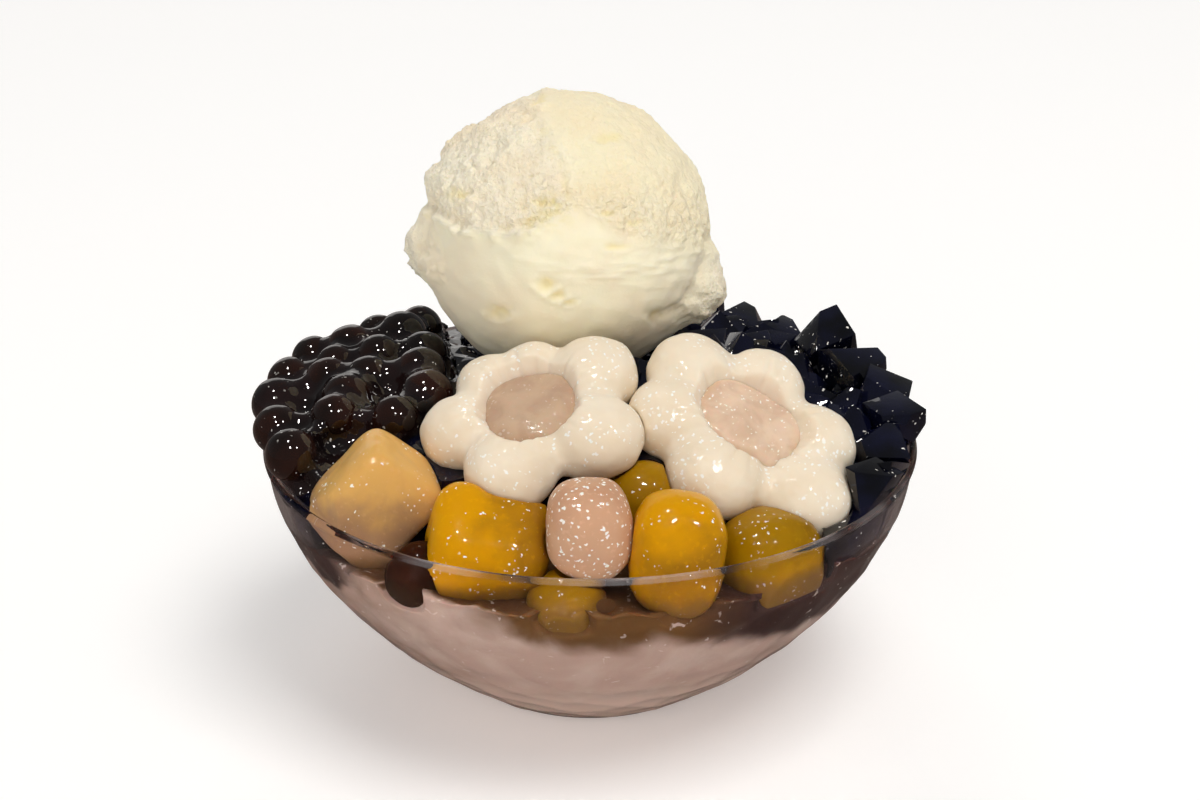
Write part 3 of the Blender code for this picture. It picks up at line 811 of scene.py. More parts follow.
@dataclass
class MilkIce:
    """Crushed milk ice up to its level, meeting the wall with no air between."""

    bowl: ClearBowl
    level: float = 0.0449
    into_wall: float = 0.00018
    lumps: float = 0.0007
    steps: int = 576
    dent: float = 0.0030             # how far it gives way to a piece at the wall
    dent_from: Tuple[float, float] = (0.0405, 0.0435)    # heights between which that starts
    climb: float = 0.0022            # how far it creeps up the front wall
    reach_in: float = 0.0012         # how far behind its skin it feels for pieces

    def build(self, pieces: Sequence[Lump]) -> None:
        """Spin the filling, roughen its top and paint what shows through it.

        Args:
            pieces: the soft pieces that push it off the wall.
        """
        inset = self.bowl.wall - self.into_wall
        side = self.bowl.rise(inset, self.level, inset, 0.0010)
        edge = side[-1][0]
        top = [(edge * share, self.level) for share in np.linspace(0.0, 1.0, 40)[:-1]]
        bottom = [(side[0][0] * share, inset) for share in (0.75, 0.5, 0.25, 0.0)]
        milk = turned(top + side[::-1] + bottom, self.steps)
        points = points_of(milk)
        on_top = points[:, 2] > self.level - 0.0001
        rough = grain(points, 240.0) + 0.6 * grain(points, 620.0, 4.0)
        points[:, 2] += np.where(on_top, self.lumps * (rough - 0.6), 0.0)
        radius = np.maximum(np.hypot(points[:, 0], points[:, 1]), MM)
        creep = self.creep(points, radius)
        uneven = 0.7 + 0.9 * grain(points, 110.0, 3.0)
        raised = points[:, 2] + self.climb * creep * uneven
        wall = self.bowl.radius(raised, inset) - self.bowl.radius(points[:, 2], inset)
        pushed = self.dent * self.given(points, radius, pieces)
        points[:, :2] *= (1.0 + (wall * creep - pushed) / radius)[:, None]
        points[:, 2] = raised
        move_points(milk, points)
        self.show_through(milk)
        settle(milk, "milk_ice_filling", milk_finish(), Slot.MILK, "milk_ice")

    def given(self, points: np.ndarray, radius: np.ndarray, pieces: Sequence[Lump]) -> np.ndarray:
        """How far the milk gives way to the pieces.

        Args:
            points: its points.
            radius: how far they lie from the bowl's axis.
            pieces: the soft pieces.

        Returns:
            The share of a full dent at each point.
        """
        inwards = 1.0 - self.reach_in / radius
        behind = points * np.stack([inwards, inwards, np.ones(len(radius))], axis=1)
        nearest = np.min([piece.share(behind) for piece in pieces], axis=0)
        close = 1.0 - ramp(nearest, 0.94, 1.14)
        return close * ramp(points[:, 2], *self.dent_from) * ramp(radius, 0.055, 0.060)

    def creep(self, points: np.ndarray, radius: np.ndarray) -> np.ndarray:
        """Where the milk creeps up the front wall.

        Args:
            points: its points.
            radius: how far they lie from the bowl's axis.

        Returns:
            The share of the full climb at each point.
        """
        azimuth = np.degrees(np.arctan2(points[:, 1], points[:, 0]))
        front = ramp(azimuth, -160.0, -140.0) * (1.0 - ramp(azimuth, -45.0, -30.0))
        return front * ramp(radius, 0.0635, 0.0660) * ramp(points[:, 2], 0.040, self.level)

    @staticmethod
    def show_through(milk: Object) -> None:
        """Paint the jelly and pearls that show through the milk, its syrupy top, painted shade and
        painted floor light.

        Args:
            milk: the filling.
        """
        points = points_of(milk)
        azimuth = np.degrees(np.arctan2(points[:, 1], points[:, 0]))
        height = points[:, 2] / MM + 3.0 * grain(points, 90.0) + 2.0 * grain(points, 210.0, 9.0)
        right = ramp(azimuth, -80.0, -56.0) * (1.0 - ramp(azimuth, 90.0, 172.0))
        left = np.maximum(ramp(azimuth, 130.0, 160.0), 1.0 - ramp(azimuth, -146.0, -128.0))
        sunk = 6.0 * ramp(azimuth, -74.0, -44.0)
        stain = right * ramp(height + sunk, 33.0, 40.0) + left * ramp(height, 36.5, 40.5)
        # painted shade under the front pieces, where they show dimly through the milk
        front = ramp(azimuth, -125.0, -95.0) * (1.0 - ramp(azimuth, -40.0, -10.0))
        top = (points[:, 2] > 0.0438) & (np.hypot(points[:, 0], points[:, 1]) < 0.0655)
        paint(milk, "stain", np.maximum(stain, 0.45 * top))
        # painted light from the floor: 1 at the bottom, fading out upwards
        paint(milk, "low", 1.0 - ramp(points[:, 2], 0.006, 0.026))
        # painted shade: darker low on the left
        shaded = 0.35 * (1.0 - ramp(azimuth, -132.0, -100.0)) * ramp(height, 8.0, 26.0)
        paint(milk, "haze_and_shade", np.max([front * ramp(height, 32.0, 43.0), top, shaded], axis=0))


@dataclass
class IceCreamScoop:
    """The scoop: a torn crown in two lobes over a smooth, pressed lower half."""

    radius: float = 0.0310
    centre: Point = (-0.0052, 0.0220, 0.0912)
    view_tilt: float = 19.2          # degrees, the height it is seen from
    drawn_over: float = 0.105        # the drawn lines' middle lies this far over the ball's
    highest: float = 0.12285
    flakes: Sequence[Tuple[Point, float, float]] = (
        ((-0.997, -0.030, -0.070), 0.0034, 0.19),
        ((0.934, -0.146, -0.328), 0.0056, 0.24),
    )

    def cad_relief(self, direction: Vector) -> float:
        """The solid's own relief: crown, waves and side flakes.

        Args:
            direction: outwards from the middle.

        Returns:
            How far the skin lies over the radius.
        """
        lip = 0.12 + 0.16 * math.sin(2.2 * math.atan2(direction.y, direction.x) + 0.6)
        crown = 1.0 / (1.0 + math.exp(-14.0 * (direction.z - lip)))
        torn = 0.45 + 0.55 * max(0.0, -direction.x)
        crags = noise.noise(direction * 5.0) + 0.5 * noise.noise(direction * 11.0)
        relief = crown * (0.0006 + 0.0016 * torn * crags)
        relief += 0.0005 * noise.noise(direction * 2.2)
        for toward, height, spread in self.flakes:
            relief += height * math.exp(-(direction.angle(Vector(toward)) / spread) ** 2)
        return relief

    def facing(self, directions: np.ndarray) -> np.ndarray:
        """Directions as the viewer sees them.

        Args:
            directions: unit arms from the middle, one row each.

        Returns:
            How far right, up and towards the viewer each points.
        """
        tilt = math.radians(self.view_tilt)
        up = directions @ np.array((0.0, math.sin(tilt), math.cos(tilt))) - self.drawn_over
        near = directions @ np.array((0.0, -math.cos(tilt), math.sin(tilt)))
        return np.stack([directions[:, 0], up, near], axis=1)

    def build(self) -> None:
        """Model the scoop from a fine ball and dress it."""
        scoop = fresh(bpy.ops.mesh.primitive_ico_sphere_add, subdivisions=7, radius=1.0)
        ball = points_of(scoop)
        ball /= np.linalg.norm(ball, axis=1)[:, None]
        skin = ScoopSkin(self, ball)
        skin.tear()
        skin.split()
        skin.fold()
        skin.pit()
        skin.smear()
        points = np.array(self.centre) + ball * (self.radius + skin.relief)[:, None]
        points[:, 2] = np.minimum(points[:, 2], self.highest)
        move_points(scoop, points)
        paint(scoop, "torn", skin.torn)
        # painted shade in the pits, the crack and the crumb valleys; the right lobe's own yellower
        # tone is added
        paint(scoop, "hollow", np.maximum(0.7 * skin.hollow, skin.butter()) + skin.valleys)
        settle(scoop, "ice_cream_scoop_torn", ice_cream_finish(), Slot.ICE_CREAM,
               "ice_cream_scoop")

    def holds(self, points: np.ndarray, margin: float = GAP) -> np.ndarray:
        """Which points lie in the scoop.

        Args:
            points: the points, one row each.
            margin: how far the scoop is grown.

        Returns:
            True for each point that does.
        """
        arms = points - np.array(self.centre)
        distance = np.linalg.norm(arms, axis=1)
        near = distance < self.radius + 0.008
        held = distance < self.radius - 0.002
        for index in np.flatnonzero(near & ~held):
            direction = Vector(arms[index]).normalized()
            held[index] = distance[index] < self.radius + margin + self.cad_relief(direction)
        return held


@dataclass
class ScoopSkin:
    """The scoop's skin in the making: its relief and its painted shares, one number a point."""

    scoop: IceCreamScoop
    ball: np.ndarray                 # unit arms from the scoop's middle, one row each
    crumb: float = 0.0011            # how far the torn crown's crumbs stand out
    wave: float = 0.0003             # how far the smooth skin does
    lobe_step: float = 0.0011        # how far the left lobe lies under the right one
    middle_dip: float = 0.0008       # how far the crown's torn middle is sunk
    crack: float = 0.0004            # how deep the crack between the lobes is
    ridge: float = 0.0010            # how far the crown's lower edge stands out
    undercut: float = 0.0006         # how deep the groove over that edge is
    streak: float = 0.0006           # how far the smears low on the right do

    def __post_init__(self) -> None:
        """Start from the solid's own relief, and find the crown and its lobes."""
        self.seen = self.scoop.facing(self.ball)
        self.front = ramp(self.seen[:, 2], -0.1, 0.15)
        self.relief = np.array([self.scoop.cad_relief(Vector(arm)) for arm in self.ball])
        self.to_ridge, over = self.near_line(SCOOP_RIDGE)
        self.over_ridge = self.to_ridge * over
        self.soft_edge = ramp(self.seen[:, 0], -0.2, 0.1)
        self.to_crack, right = self.near_line(SCOOP_CRACK)
        self.past_crack = self.to_crack * right
        azimuth = np.arctan2(self.ball[:, 1], self.ball[:, 0])
        lip = 0.12 + 0.16 * np.sin(2.2 * azimuth + 0.6)
        drawn = ramp(self.over_ridge / (1.0 + 1.6 * self.soft_edge), -0.01, 0.05)
        behind = ramp(self.ball[:, 2] - lip, -0.02, 0.10)
        self.crown = self.front * drawn + (1.0 - self.front) * behind
        self.left = (self.front * ramp(-self.past_crack, -0.03, 0.03)
                     + (1.0 - self.front) * ramp(-self.ball[:, 0], 0.1, 0.6))

    def near_line(self, line: Sequence[Tuple[float, float]]) -> Tuple[np.ndarray, np.ndarray]:
        """How the points lie to a line drawn on the front.

        Args:
            line: the line's corners, right and up.

        Returns:
            Their distance to it, and 1 or -1 for its left or right side.
        """
        nearest = np.full(len(self.seen), 9.0)
        side = np.zeros(len(self.seen))
        for (x0, y0), (x1, y1) in zip(line, line[1:]):
            along = np.array((x1 - x0, y1 - y0))
            offset = self.seen[:, :2] - (x0, y0)
            share = np.clip(offset @ along / (along @ along), 0.0, 1.0)
            gap = offset - share[:, None] * along
            distance = np.hypot(gap[:, 0], gap[:, 1])
            closer = distance < nearest
            cross = along[0] * offset[:, 1] - along[1] * offset[:, 0]
            side = np.where(closer, np.sign(cross), side)
            nearest = np.where(closer, distance, nearest)
        return nearest, side

    def apart(self, x: float, y: float, width: float, height: float) -> np.ndarray:
        """Distance from a spot on the front, in shares of its half width and height."""
        return np.hypot((self.seen[:, 0] - x) / width, (self.seen[:, 1] - y) / height)

    def clods(self, scale: float) -> np.ndarray:
        """Rounded crumbs: bulges round scattered middles, with valleys between, about 0."""
        return np.array([0.45 - noise.voronoi(Vector(arm * scale))[0][0] for arm in self.ball])

    def tear(self) -> None:
        """Tear the crown and the side flakes into crumbs."""
        flaked = [bell(np.arccos(np.clip(self.ball @ np.array(toward), -1.0, 1.0)) / spread, 1.2)
                  for toward, _height, spread in self.scoop.flakes]
        band = self.front * bell(self.apart(0.30, 0.04, 0.62, 0.17), 1.0)
        middle = self.front * bell(self.apart(-0.10, 0.07, 0.17, 0.12), 1.0)
        torn = np.clip(0.46 + 0.35 * self.left + 0.7 * band + 0.6 * middle, 0.0, 1.0)
        self.torn = np.maximum(self.crown * torn, np.max(flaked, axis=0))
        crumbs = 0.30 * grain(self.ball, 10.0) + self.clods(17.0) + 0.6 * self.clods(31.0)
        self.relief += self.torn * crumbs * self.crumb
        self.relief += (1.0 - self.crown) * grain(self.ball, 9.0, 2.0) * self.wave
        self.relief -= middle * self.middle_dip
        # painted shade in the valleys between the middle's crumbs
        self.valleys = 0.5 * middle * ramp(-crumbs, -0.1, 0.3)

    def split(self) -> None:
        """Sink the left lobe under the right one, with a wandering crack between."""
        self.relief -= self.crown * self.left * bell(self.to_crack, 0.42) * self.lobe_step
        wander = 0.6 + 1.2 * grain(self.ball, 12.0, 8.0)
        torn_front = self.front * self.crown
        self.relief -= torn_front * bell(self.to_crack, 0.030) * self.crack * wander
        open_part = np.clip(2.0 * wander - 0.9, 0.0, 1.0)
        # painted shade where the crack opens
        self.hollow = 0.3 * torn_front * bell(self.to_crack, 0.05) * open_part

    def fold(self) -> None:
        """Raise the crown's lower edge with its lumps, and draw the lines on the skin."""
        wobble = 0.7 + 1.6 * grain(self.ball, 16.0, 5.0)
        sharp = self.front * (1.0 - self.soft_edge)
        self.relief += sharp * bell(self.to_ridge, 0.024) * self.ridge * wobble
        self.relief -= sharp * bell(np.abs(self.over_ridge - 0.055), 0.040) * self.undercut
        for x, y, size, height in SCOOP_LUMPS:
            apart = self.apart(x, y, 1.0, 1.0) + 0.04 * grain(self.ball, 24.0, x)
            self.relief += bell(apart, size) * height * (self.seen[:, 2] > -0.6)
        for line, width, depth in SCOOP_LINES:
            self.relief -= depth * bell(self.near_line(line)[0], width) * self.front

    def pit(self) -> None:
        """Scratch the pits, each with a small heap under it."""
        for x, y, width, height, depth in SCOOP_PITS:
            apart = self.apart(x, y, width, height)
            pit = self.front * bell(apart + 0.5 * grain(self.ball, 20.0, x), 1.0)
            heap = self.front * bell(apart - 1.5, 0.45) * (self.seen[:, 1] < y)
            self.relief += -depth * pit + 0.35 * depth * heap
            # painted shade in each pit
            self.hollow = np.maximum(self.hollow, 0.8 * pit)

    def smear(self) -> None:
        """Draw level streaks low on the right, where the spoon slid."""
        streaks = np.array([noise.noise(Vector((x * 5.0, y * 42.0, 3.0)))
                            for x, y, _near in self.seen])
        slid = self.front * bell(self.apart(0.4, -0.3, 0.5, 0.14), 1.0)
        self.relief += slid * streaks * self.streak

    def butter(self) -> np.ndarray:
        """Where the right lobe is yellower."""
        return self.crown * self.front * ramp(self.past_crack, -0.06, 0.16) * 0.20


# Lines and pits on the scoop's front, in shares of its radius: right and up from its middle.
SCOOP_CRACK = ((-0.18, 0.90), (-0.21, 0.70), (-0.03, 0.43), (0.02, 0.19), (-0.13, 0.11),
               (-0.22, 0.0))
SCOOP_RIDGE = ((-1.05, 0.12), (-0.90, 0.04), (-0.71, -0.07), (-0.39, -0.10), (-0.22, -0.08),
               (-0.04, 0.0), (0.13, 0.05), (0.26, -0.06), (0.39, -0.15), (0.65, -0.20),
               (0.94, -0.25), (1.08, -0.28))
SCOOP_LUMPS = (       # right, up, size, height
    (-0.14, 0.84, 0.060, 0.0009),
    (-0.26, 0.80, 0.050, 0.0008),
    (-0.82, 0.50, 0.060, 0.0011),
    (-0.76, 0.60, 0.045, 0.0006),
    (-0.93, 0.30, 0.070, 0.0008),
    (-0.97, -0.12, 0.080, 0.0012),
    (-0.93, -0.28, 0.070, 0.0016),
    (-0.88, -0.38, 0.050, 0.0010),
    (-0.60, -0.05, 0.045, 0.0009),
    (-0.46, -0.07, 0.040, 0.0009),
    (-0.30, -0.08, 0.045, 0.0011),
    (-0.21, -0.11, 0.035, 0.0009),
    (0.97, -0.20, 0.060, 0.0010),
    (0.93, -0.45, 0.060, 0.0008),
    (0.84, -0.58, 0.050, 0.0012),
)
SCOOP_PITS = (        # right, up, half width, half height, depth
    (-0.12, -0.42, 0.055, 0.045, 0.0012),
    (-0.05, -0.49, 0.050, 0.030, 0.0010),
    (0.03, -0.54, 0.040, 0.020, 0.0008),
    (-0.45, -0.61, 0.070, 0.045, 0.0009),
    (0.62, -0.64, 0.055, 0.035, 0.0008),
    (-0.13, 0.13, 0.060, 0.035, 0.0008),
    (-0.24, -0.02, 0.050, 0.030, 0.0007),
    (0.28, 0.05, 0.070, 0.025, 0.0008),
    (0.46, -0.01, 0.080, 0.025, 0.0007),
    (0.34, -0.17, 0.070, 0.022, 0.0006),
    (0.30, 0.55, 0.120, 0.045, 0.0005),
    (-0.17, 0.82, 0.050, 0.040, 0.0009),
    (-0.72, 0.18, 0.080, 0.040, 0.0009),
)
SCOOP_LINES = (       # the line, its half width, its depth; a negative depth stands out
    (((-0.33, -0.24), (0.0, -0.30), (0.5, -0.29), (0.9, -0.20)), 0.014, -0.00028),
    (((0.98, -0.12), (0.90, -0.40), (0.80, -0.58), (0.62, -0.68)), 0.035, 0.0013),
    (((-0.93, 0.12), (-0.96, -0.05), (-0.95, -0.20)), 0.030, 0.0012),
)


@dataclass(frozen=True)
class Petal:
    """A petal: where its middle lies in the flower's plane, its half sizes and its lift."""

    azimuth: float
    reach: float
    half_width: float
    half_length: float
    lift: float


@dataclass
class DumplingFlower:
    """A rice dumpling pinched into six petals round a disc of taro paste."""

    name: str
    centre: Point
    tilt: float
    facing: float
    petals: Sequence[Petal]
    paste: Tuple[Rgb, Rgb, float]
    wrinkles: float
    half_thickness: float = 0.0080
    hub: Tuple[Point, Point] = ((0.0, 0.0, -0.0020), (0.0135, 0.0130, 0.0056))
    disc_half: Point = (0.0094, 0.0094, 0.0030)
    disc_turn: float = 0.0
    disc_height: float = 0.0030
    hollow_floor: float = 0.0034
    closing: float = 0.0014          # valleys narrower than twice this are filled
    voxel: float = 0.00045
    creases: Sequence[Tuple[float, float]] = (       # degrees from a petal's middle, depth
        (-19.0, 0.00026), (-5.0, 0.00014), (9.0, 0.00036), (26.0, 0.00022),
    )

    def plane(self) -> Matrix:
        """Placement of the flower's plane, tilted over the way it faces.

        Returns:
            The placement.
        """
        facing = Matrix.Rotation(math.radians(self.facing), 4, "Z")
        tilt = Matrix.Rotation(math.radians(self.tilt), 4, "Y")
        return Matrix.Translation(self.centre) @ facing @ tilt @ facing.inverted()

    def lumps(self) -> List[Lump]:
        """The hub and the petals.

        Returns:
            Their forms, the hub first.
        """
        made = [Lump(self.plane() @ placed(self.hub[0]), self.hub[1])]
        for petal in self.petals:
            angle = math.radians(petal.azimuth)
            middle = (petal.reach * math.cos(angle), petal.reach * math.sin(angle), petal.lift)
            half = (petal.half_length, petal.half_width, self.half_thickness)
            made.append(Lump(self.plane() @ placed(middle, (0.0, 0.0, petal.azimuth)), half))
        return made

    def build(self, walls: Sequence[Mask]) -> None:
        """Pinch the dough together, press it against its neighbours, and lay the paste in.

        Args:
            walls: what the flower may not enter.
        """
        grown = [Lump(lump.place, tuple(size + self.closing for size in lump.half), lump.boxiness)
                 for lump in self.lumps()]
        dough = join([lump.body(5) for lump in grown])
        apply(dough, "REMESH", mode="VOXEL", voxel_size=self.voxel)
        apply(dough, "SMOOTH", factor=0.5, iterations=8)
        move_points(dough, points_of(dough) - normals_of(dough) * self.closing)
        apply(dough, "REMESH", mode="VOXEL", voxel_size=self.voxel)
        middle = np.array(self.plane() @ Vector((0.0, 0.0, -0.003)))
        move_points(dough, press(points_of(dough), middle, walls))
        self.hollow_out(dough)
        apply(dough, "SMOOTH", factor=0.5, iterations=5)
        self.knead(dough)
        settle(dough, self.name + "_dough", dough_finish(), Slot.DOUGH, self.name)

        disc = Lump(self.plane() @ placed((0.0, 0.0, self.disc_height),
                                          (0.0, 0.0, self.disc_turn)), self.disc_half, 2.8)
        paste = disc.body(6)
        points = points_of(paste)
        local = (points - disc.centre) @ np.array(disc.place.to_3x3())
        folds = np.array([noise.noise(Vector((x * 150.0, y * 340.0, 7.0))) for x, y, _z in local])
        lift = 0.0004 * grain(points, 300.0) + self.wrinkles * folds
        up = np.array(disc.place.to_3x3())[:, 2]
        move_points(paste, points + np.outer(lift * (local[:, 2] > 0.0), up))
        apply(paste, "SMOOTH", factor=0.4, iterations=2)
        pale, deep, sparkle = self.paste
        settle(paste, self.name + "_paste", paste_finish(self.name + "_paste_finish", pale, deep,
                                                         sparkle),
               Slot.PASTE, self.name + "_centre")

    def hollow_out(self, dough: Object) -> None:
        """Press the dough down in a round hollow for the paste.

        Args:
            dough: the dough.
        """
        points = points_of(dough)
        turn = np.array(self.plane().to_3x3())
        local = (points - np.array(self.centre)) @ turn
        turn_back = math.radians(-self.disc_turn)
        across = local[:, 0] * math.cos(turn_back) - local[:, 1] * math.sin(turn_back)
        along = local[:, 0] * math.sin(turn_back) + local[:, 1] * math.cos(turn_back)
        radius = np.hypot(across / self.disc_half[0], along / self.disc_half[1])
        floor = self.hollow_floor + 0.0046 * ramp(radius, 0.84, 1.32)
        deep = (radius < 1.32) & (local[:, 2] > floor)
        local[:, 2] = np.where(deep, floor, local[:, 2])
        move_points(dough, local @ turn.T + np.array(self.centre))

    def knead(self, dough: Object) -> None:
        """Work pinch lines and finger dents into the dough, and paint its pink middle and its
        painted shade underneath.

        Args:
            dough: the dough.
        """
        points = points_of(dough)
        turn = np.array(self.plane().to_3x3())
        local = (points - np.array(self.centre)) @ turn
        radius = np.hypot(local[:, 0], local[:, 1])
        azimuth = np.degrees(np.arctan2(local[:, 1], local[:, 0]))
        upper = ramp(local[:, 2], -0.001, 0.004)
        sink = 0.00035 * grain(points, 170.0, 2.0) + 0.00012 * grain(points, 520.0, 5.0)
        for index, petal in enumerate(self.petals):
            for spread, depth in self.creases:
                line = petal.azimuth + spread + 4.0 * math.sin(index * 2.3 + spread)
                away = (azimuth - line + 180.0) % 360.0 - 180.0
                window = bell(radius - 0.0112, 0.0036)
                sink -= depth * bell(np.radians(away) * radius, 0.00050) * window * upper
        move_points(dough, points + normals_of(dough) * sink[:, None])
        # pink near the paste; painted shade, darker underneath where it lies on the other pieces
        blush_and_shade = bell(np.maximum(radius - 0.0062, 0.0), 0.0030) * upper
        paint(dough, "blush_and_shade", blush_and_shade + 0.55 * ramp(-local[:, 2], 0.001, 0.007))


@dataclass
class SoftPiece:
    """A taro or sweet potato piece, dented by what presses on it."""

    node: str
    centre: Point
    half: Point
    finish: SoftFinish
    slot: Slot
    turn: Point = (0.0, 0.0, 0.0)
    boxiness: float = 2.0
    # which way its painted lit side faces
    painted_lit_side: Point = (0.0, 0.0, 1.0)
    unevenness: float = 0.0005

    def lump(self) -> Lump:
        """Its form."""
        return Lump(placed(self.centre, self.turn), self.half, self.boxiness)

    def build(self, walls: Sequence[Mask]) -> None:
        """Model the piece, press it and dress it.

        Args:
            walls: what the piece may not enter.
        """
        lump = self.lump()
        body = lump.body(6)
        points = points_of(body)
        out = points - lump.centre
        out /= np.linalg.norm(out, axis=1)[:, None]
        waves = grain(points, 110.0, self.centre[0] * 900.0) + 0.3 * grain(points, 330.0, 5.0)
        points += out * (self.unevenness * (waves - 0.3))[:, None]
        move_points(body, press(points, lump.centre, walls))
        apply(body, "SMOOTH", factor=0.4, iterations=3)
        # painted light and shade: how far each point faces the painted lit side
        toward = np.array(Vector(self.painted_lit_side).normalized())
        paint(body, "painted_lit_side", 0.5 + 0.5 * (out @ toward))
        # where its lower end, below the milk line, takes painted shade and the syrupy milk's brown
        paint(body, "sunk", 1.0 - ramp(points[:, 2], 0.0440, 0.0510))
        settle(body, self.node + "_soft", self.finish.material(), self.slot, self.node)


# --------------------------------------------------------------------------------------- heaps
@dataclass
class Heap:
    """A mound that fills a share of the bowl, with loose pieces lying on it."""

    bowl: ClearBowl
    shoulder_radius: float
    shoulder_height: float
    top: float
    foot: float = 0.0430
    power: float = 1.8
    core_lift: float = 0.0          # the core's top stands this far over the mound
    front_edge: float = -0.0340
    front_skew: float = -0.06
    apex: Tuple[float, float] = (-0.0240, -0.0080)
    sector: Tuple[float, float] = (98.0, 232.0)
    clearance: float = 0.0005

    def mound(self, radius: float) -> float:
        """Height of the mound at a radius."""
        share = min(radius / self.shoulder_radius, 1.0)
        return self.top - (self.top - self.shoulder_height) * share ** self.power

    def in_sector(self, points: np.ndarray, grow: float) -> np.ndarray:
        """Which points lie in the pearls' sector.

        Args:
            points: the points, one row each.
            grow: how far the sector is widened on both sides.

        Returns:
            True for each point that does.
        """
        held = np.ones(len(points), bool)
        for azimuth, side in zip(self.sector, (-90.0, 90.0)):
            angle = math.radians(azimuth + side)
            outward = np.array((math.cos(angle), math.sin(angle)))
            held &= (points[:, :2] - self.apex) @ outward < grow
        return held

    def core(self, sides: Sequence[Tuple[Point, Point]]) -> Object:
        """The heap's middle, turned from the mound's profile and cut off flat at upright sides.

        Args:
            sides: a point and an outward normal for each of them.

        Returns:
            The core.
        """
        crown = [(radius, self.mound(radius) + self.core_lift)
                 for radius in self.shoulder_radius * np.linspace(0.0, 1.0, 24)]
        brim_height = self.bowl.height - 3 * self.bowl.bead
        brim = float(self.bowl.room(np.array(self.bowl.height)))
        side = self.bowl.rise(self.foot, brim_height - 0.0006, self.bowl.wall + GAP, 0.0015)
        profile = crown + [(brim, self.bowl.height - 0.0002), (brim, brim_height)]
        profile += side[::-1] + [(0.0, self.foot)]
        core = turned(profile, 144)
        bpy.ops.object.mode_set(mode="EDIT")
        for point, outward in sides:
            bpy.ops.mesh.select_all(action="SELECT")
            bpy.ops.mesh.bisect(plane_co=point, plane_no=outward, use_fill=True, clear_outer=True)
        bpy.ops.object.mode_set(mode="OBJECT")
        return core

    def front_side(self) -> Tuple[Point, Point]:
        """Point and outward normal of the heap's front face."""
        return (0.0, self.front_edge, 0.0), (-self.front_skew, -1.0, 0.0)

    def sector_sides(self) -> List[Tuple[Point, Point]]:
        """Points and outward normals of the sector's two upright faces.

        Returns:
            A point and a normal for each face.
        """
        sides = []
        for azimuth, side in zip(self.sector, (-90.0, 90.0)):
            angle = math.radians(azimuth + side)
            sides.append(((*self.apex, 0.0), (math.cos(angle), math.sin(angle), 0.0)))
        return sides

    def ring(self, radius: float, height: float, first: float, last: float,
             pitch: float) -> Iterator[Tuple[Vector, float]]:
        """Evenly spaced spots round a ring.

        Args:
            radius: of the ring.
            height: of the ring.
            first: azimuth of its first spot, in degrees.
            last: azimuth of its last spot.
            pitch: about how far apart the spots are.

        Yields:
            Each spot and its azimuth in radians.
        """
        count = int(math.radians(last - first) * radius / pitch)
        for azimuth in np.radians(np.linspace(first, last, count + 1)):
            spot = Vector((radius * math.cos(azimuth), radius * math.sin(azimuth), height))
            yield spot, float(azimuth)

    def scatter(self, draw: random.Random, lift: float, spread: float,
                attempts: int) -> Iterator[Tuple[Vector, float]]:
        """Random spots a little above the mound's top.

        Args:
            draw: what they are drawn from.
            lift: the least height above the top.
            spread: how much higher they may lie.
            attempts: how many there are.

        Yields:
            Each spot and its azimuth in radians.
        """
        for _attempt in range(attempts):
            azimuth = draw.uniform(0.0, math.tau)
            radius = self.shoulder_radius * math.sqrt(draw.random())
            height = self.mound(radius) + lift + draw.uniform(0.0, spread)
            yield Vector((radius * math.cos(azimuth), radius * math.sin(azimuth), height)), azimuth

    def fill(self, spots: Iterable[Tuple[Vector, float]], shape_at: Callable[[float], Matrix],
             sample: np.ndarray, spacing: float, walls: Sequence[Mask],
             placed_already: Sequence[Matrix] = ()) -> List[Matrix]:
        """Take each spot in turn where a piece keeps its distance and enters no wall.

        Args:
            spots: the spots, with their azimuths.
            shape_at: turn and size of the piece for an azimuth.
            sample: points of the piece that it is tested by.
            spacing: least distance between two middles.
            walls: what no piece may enter.
            placed_already: pieces that are there before.

        Returns:
            The placements of the new pieces.
        """
        taken = [matrix.translation for matrix in placed_already]
        added = []
        for spot, azimuth in spots:
            matrix = Matrix.Translation(spot) @ shape_at(azimuth)
            if any((spot - other).length < spacing for other in taken):
                continue
            points = sample @ np.array(matrix.to_3x3()).T + np.array(spot)
            if np.any([wall(points) for wall in walls]):
                continue
            taken.append(spot)
            added.append(matrix)
        return added

    def beyond_rim(self, points: np.ndarray) -> np.ndarray:
        """Which points lie in the wall or the bead; over the rim there is room.

        Args:
            points: the points, one row each.

        Returns:
            True for each point that does.
        """
        bead_inner = self.bowl.rim_radius - 2 * self.bowl.bead
        inner = np.minimum(self.bowl.radius(points[:, 2], self.bowl.wall), bead_inner)
        low = points[:, 2] < self.bowl.height + self.clearance
        return low & (np.hypot(points[:, 0], points[:, 1]) > inner - self.clearance)

    @staticmethod
    def copies(model: Object, matrices: Sequence[Matrix]) -> Object:
        """Copies of a modelled piece, each with its own mesh, joined into one piece.

        Args:
            model: the modelled piece.
            matrices: where the copies go.

        Returns:
            The joined piece.
        """
        made = []
        for matrix in matrices:
            copy = model.copy()
            copy.data = model.data.copy()
            copy.data.transform(matrix)
            bpy.context.scene.collection.objects.link(copy)
            made.append(copy)
        return join(made)


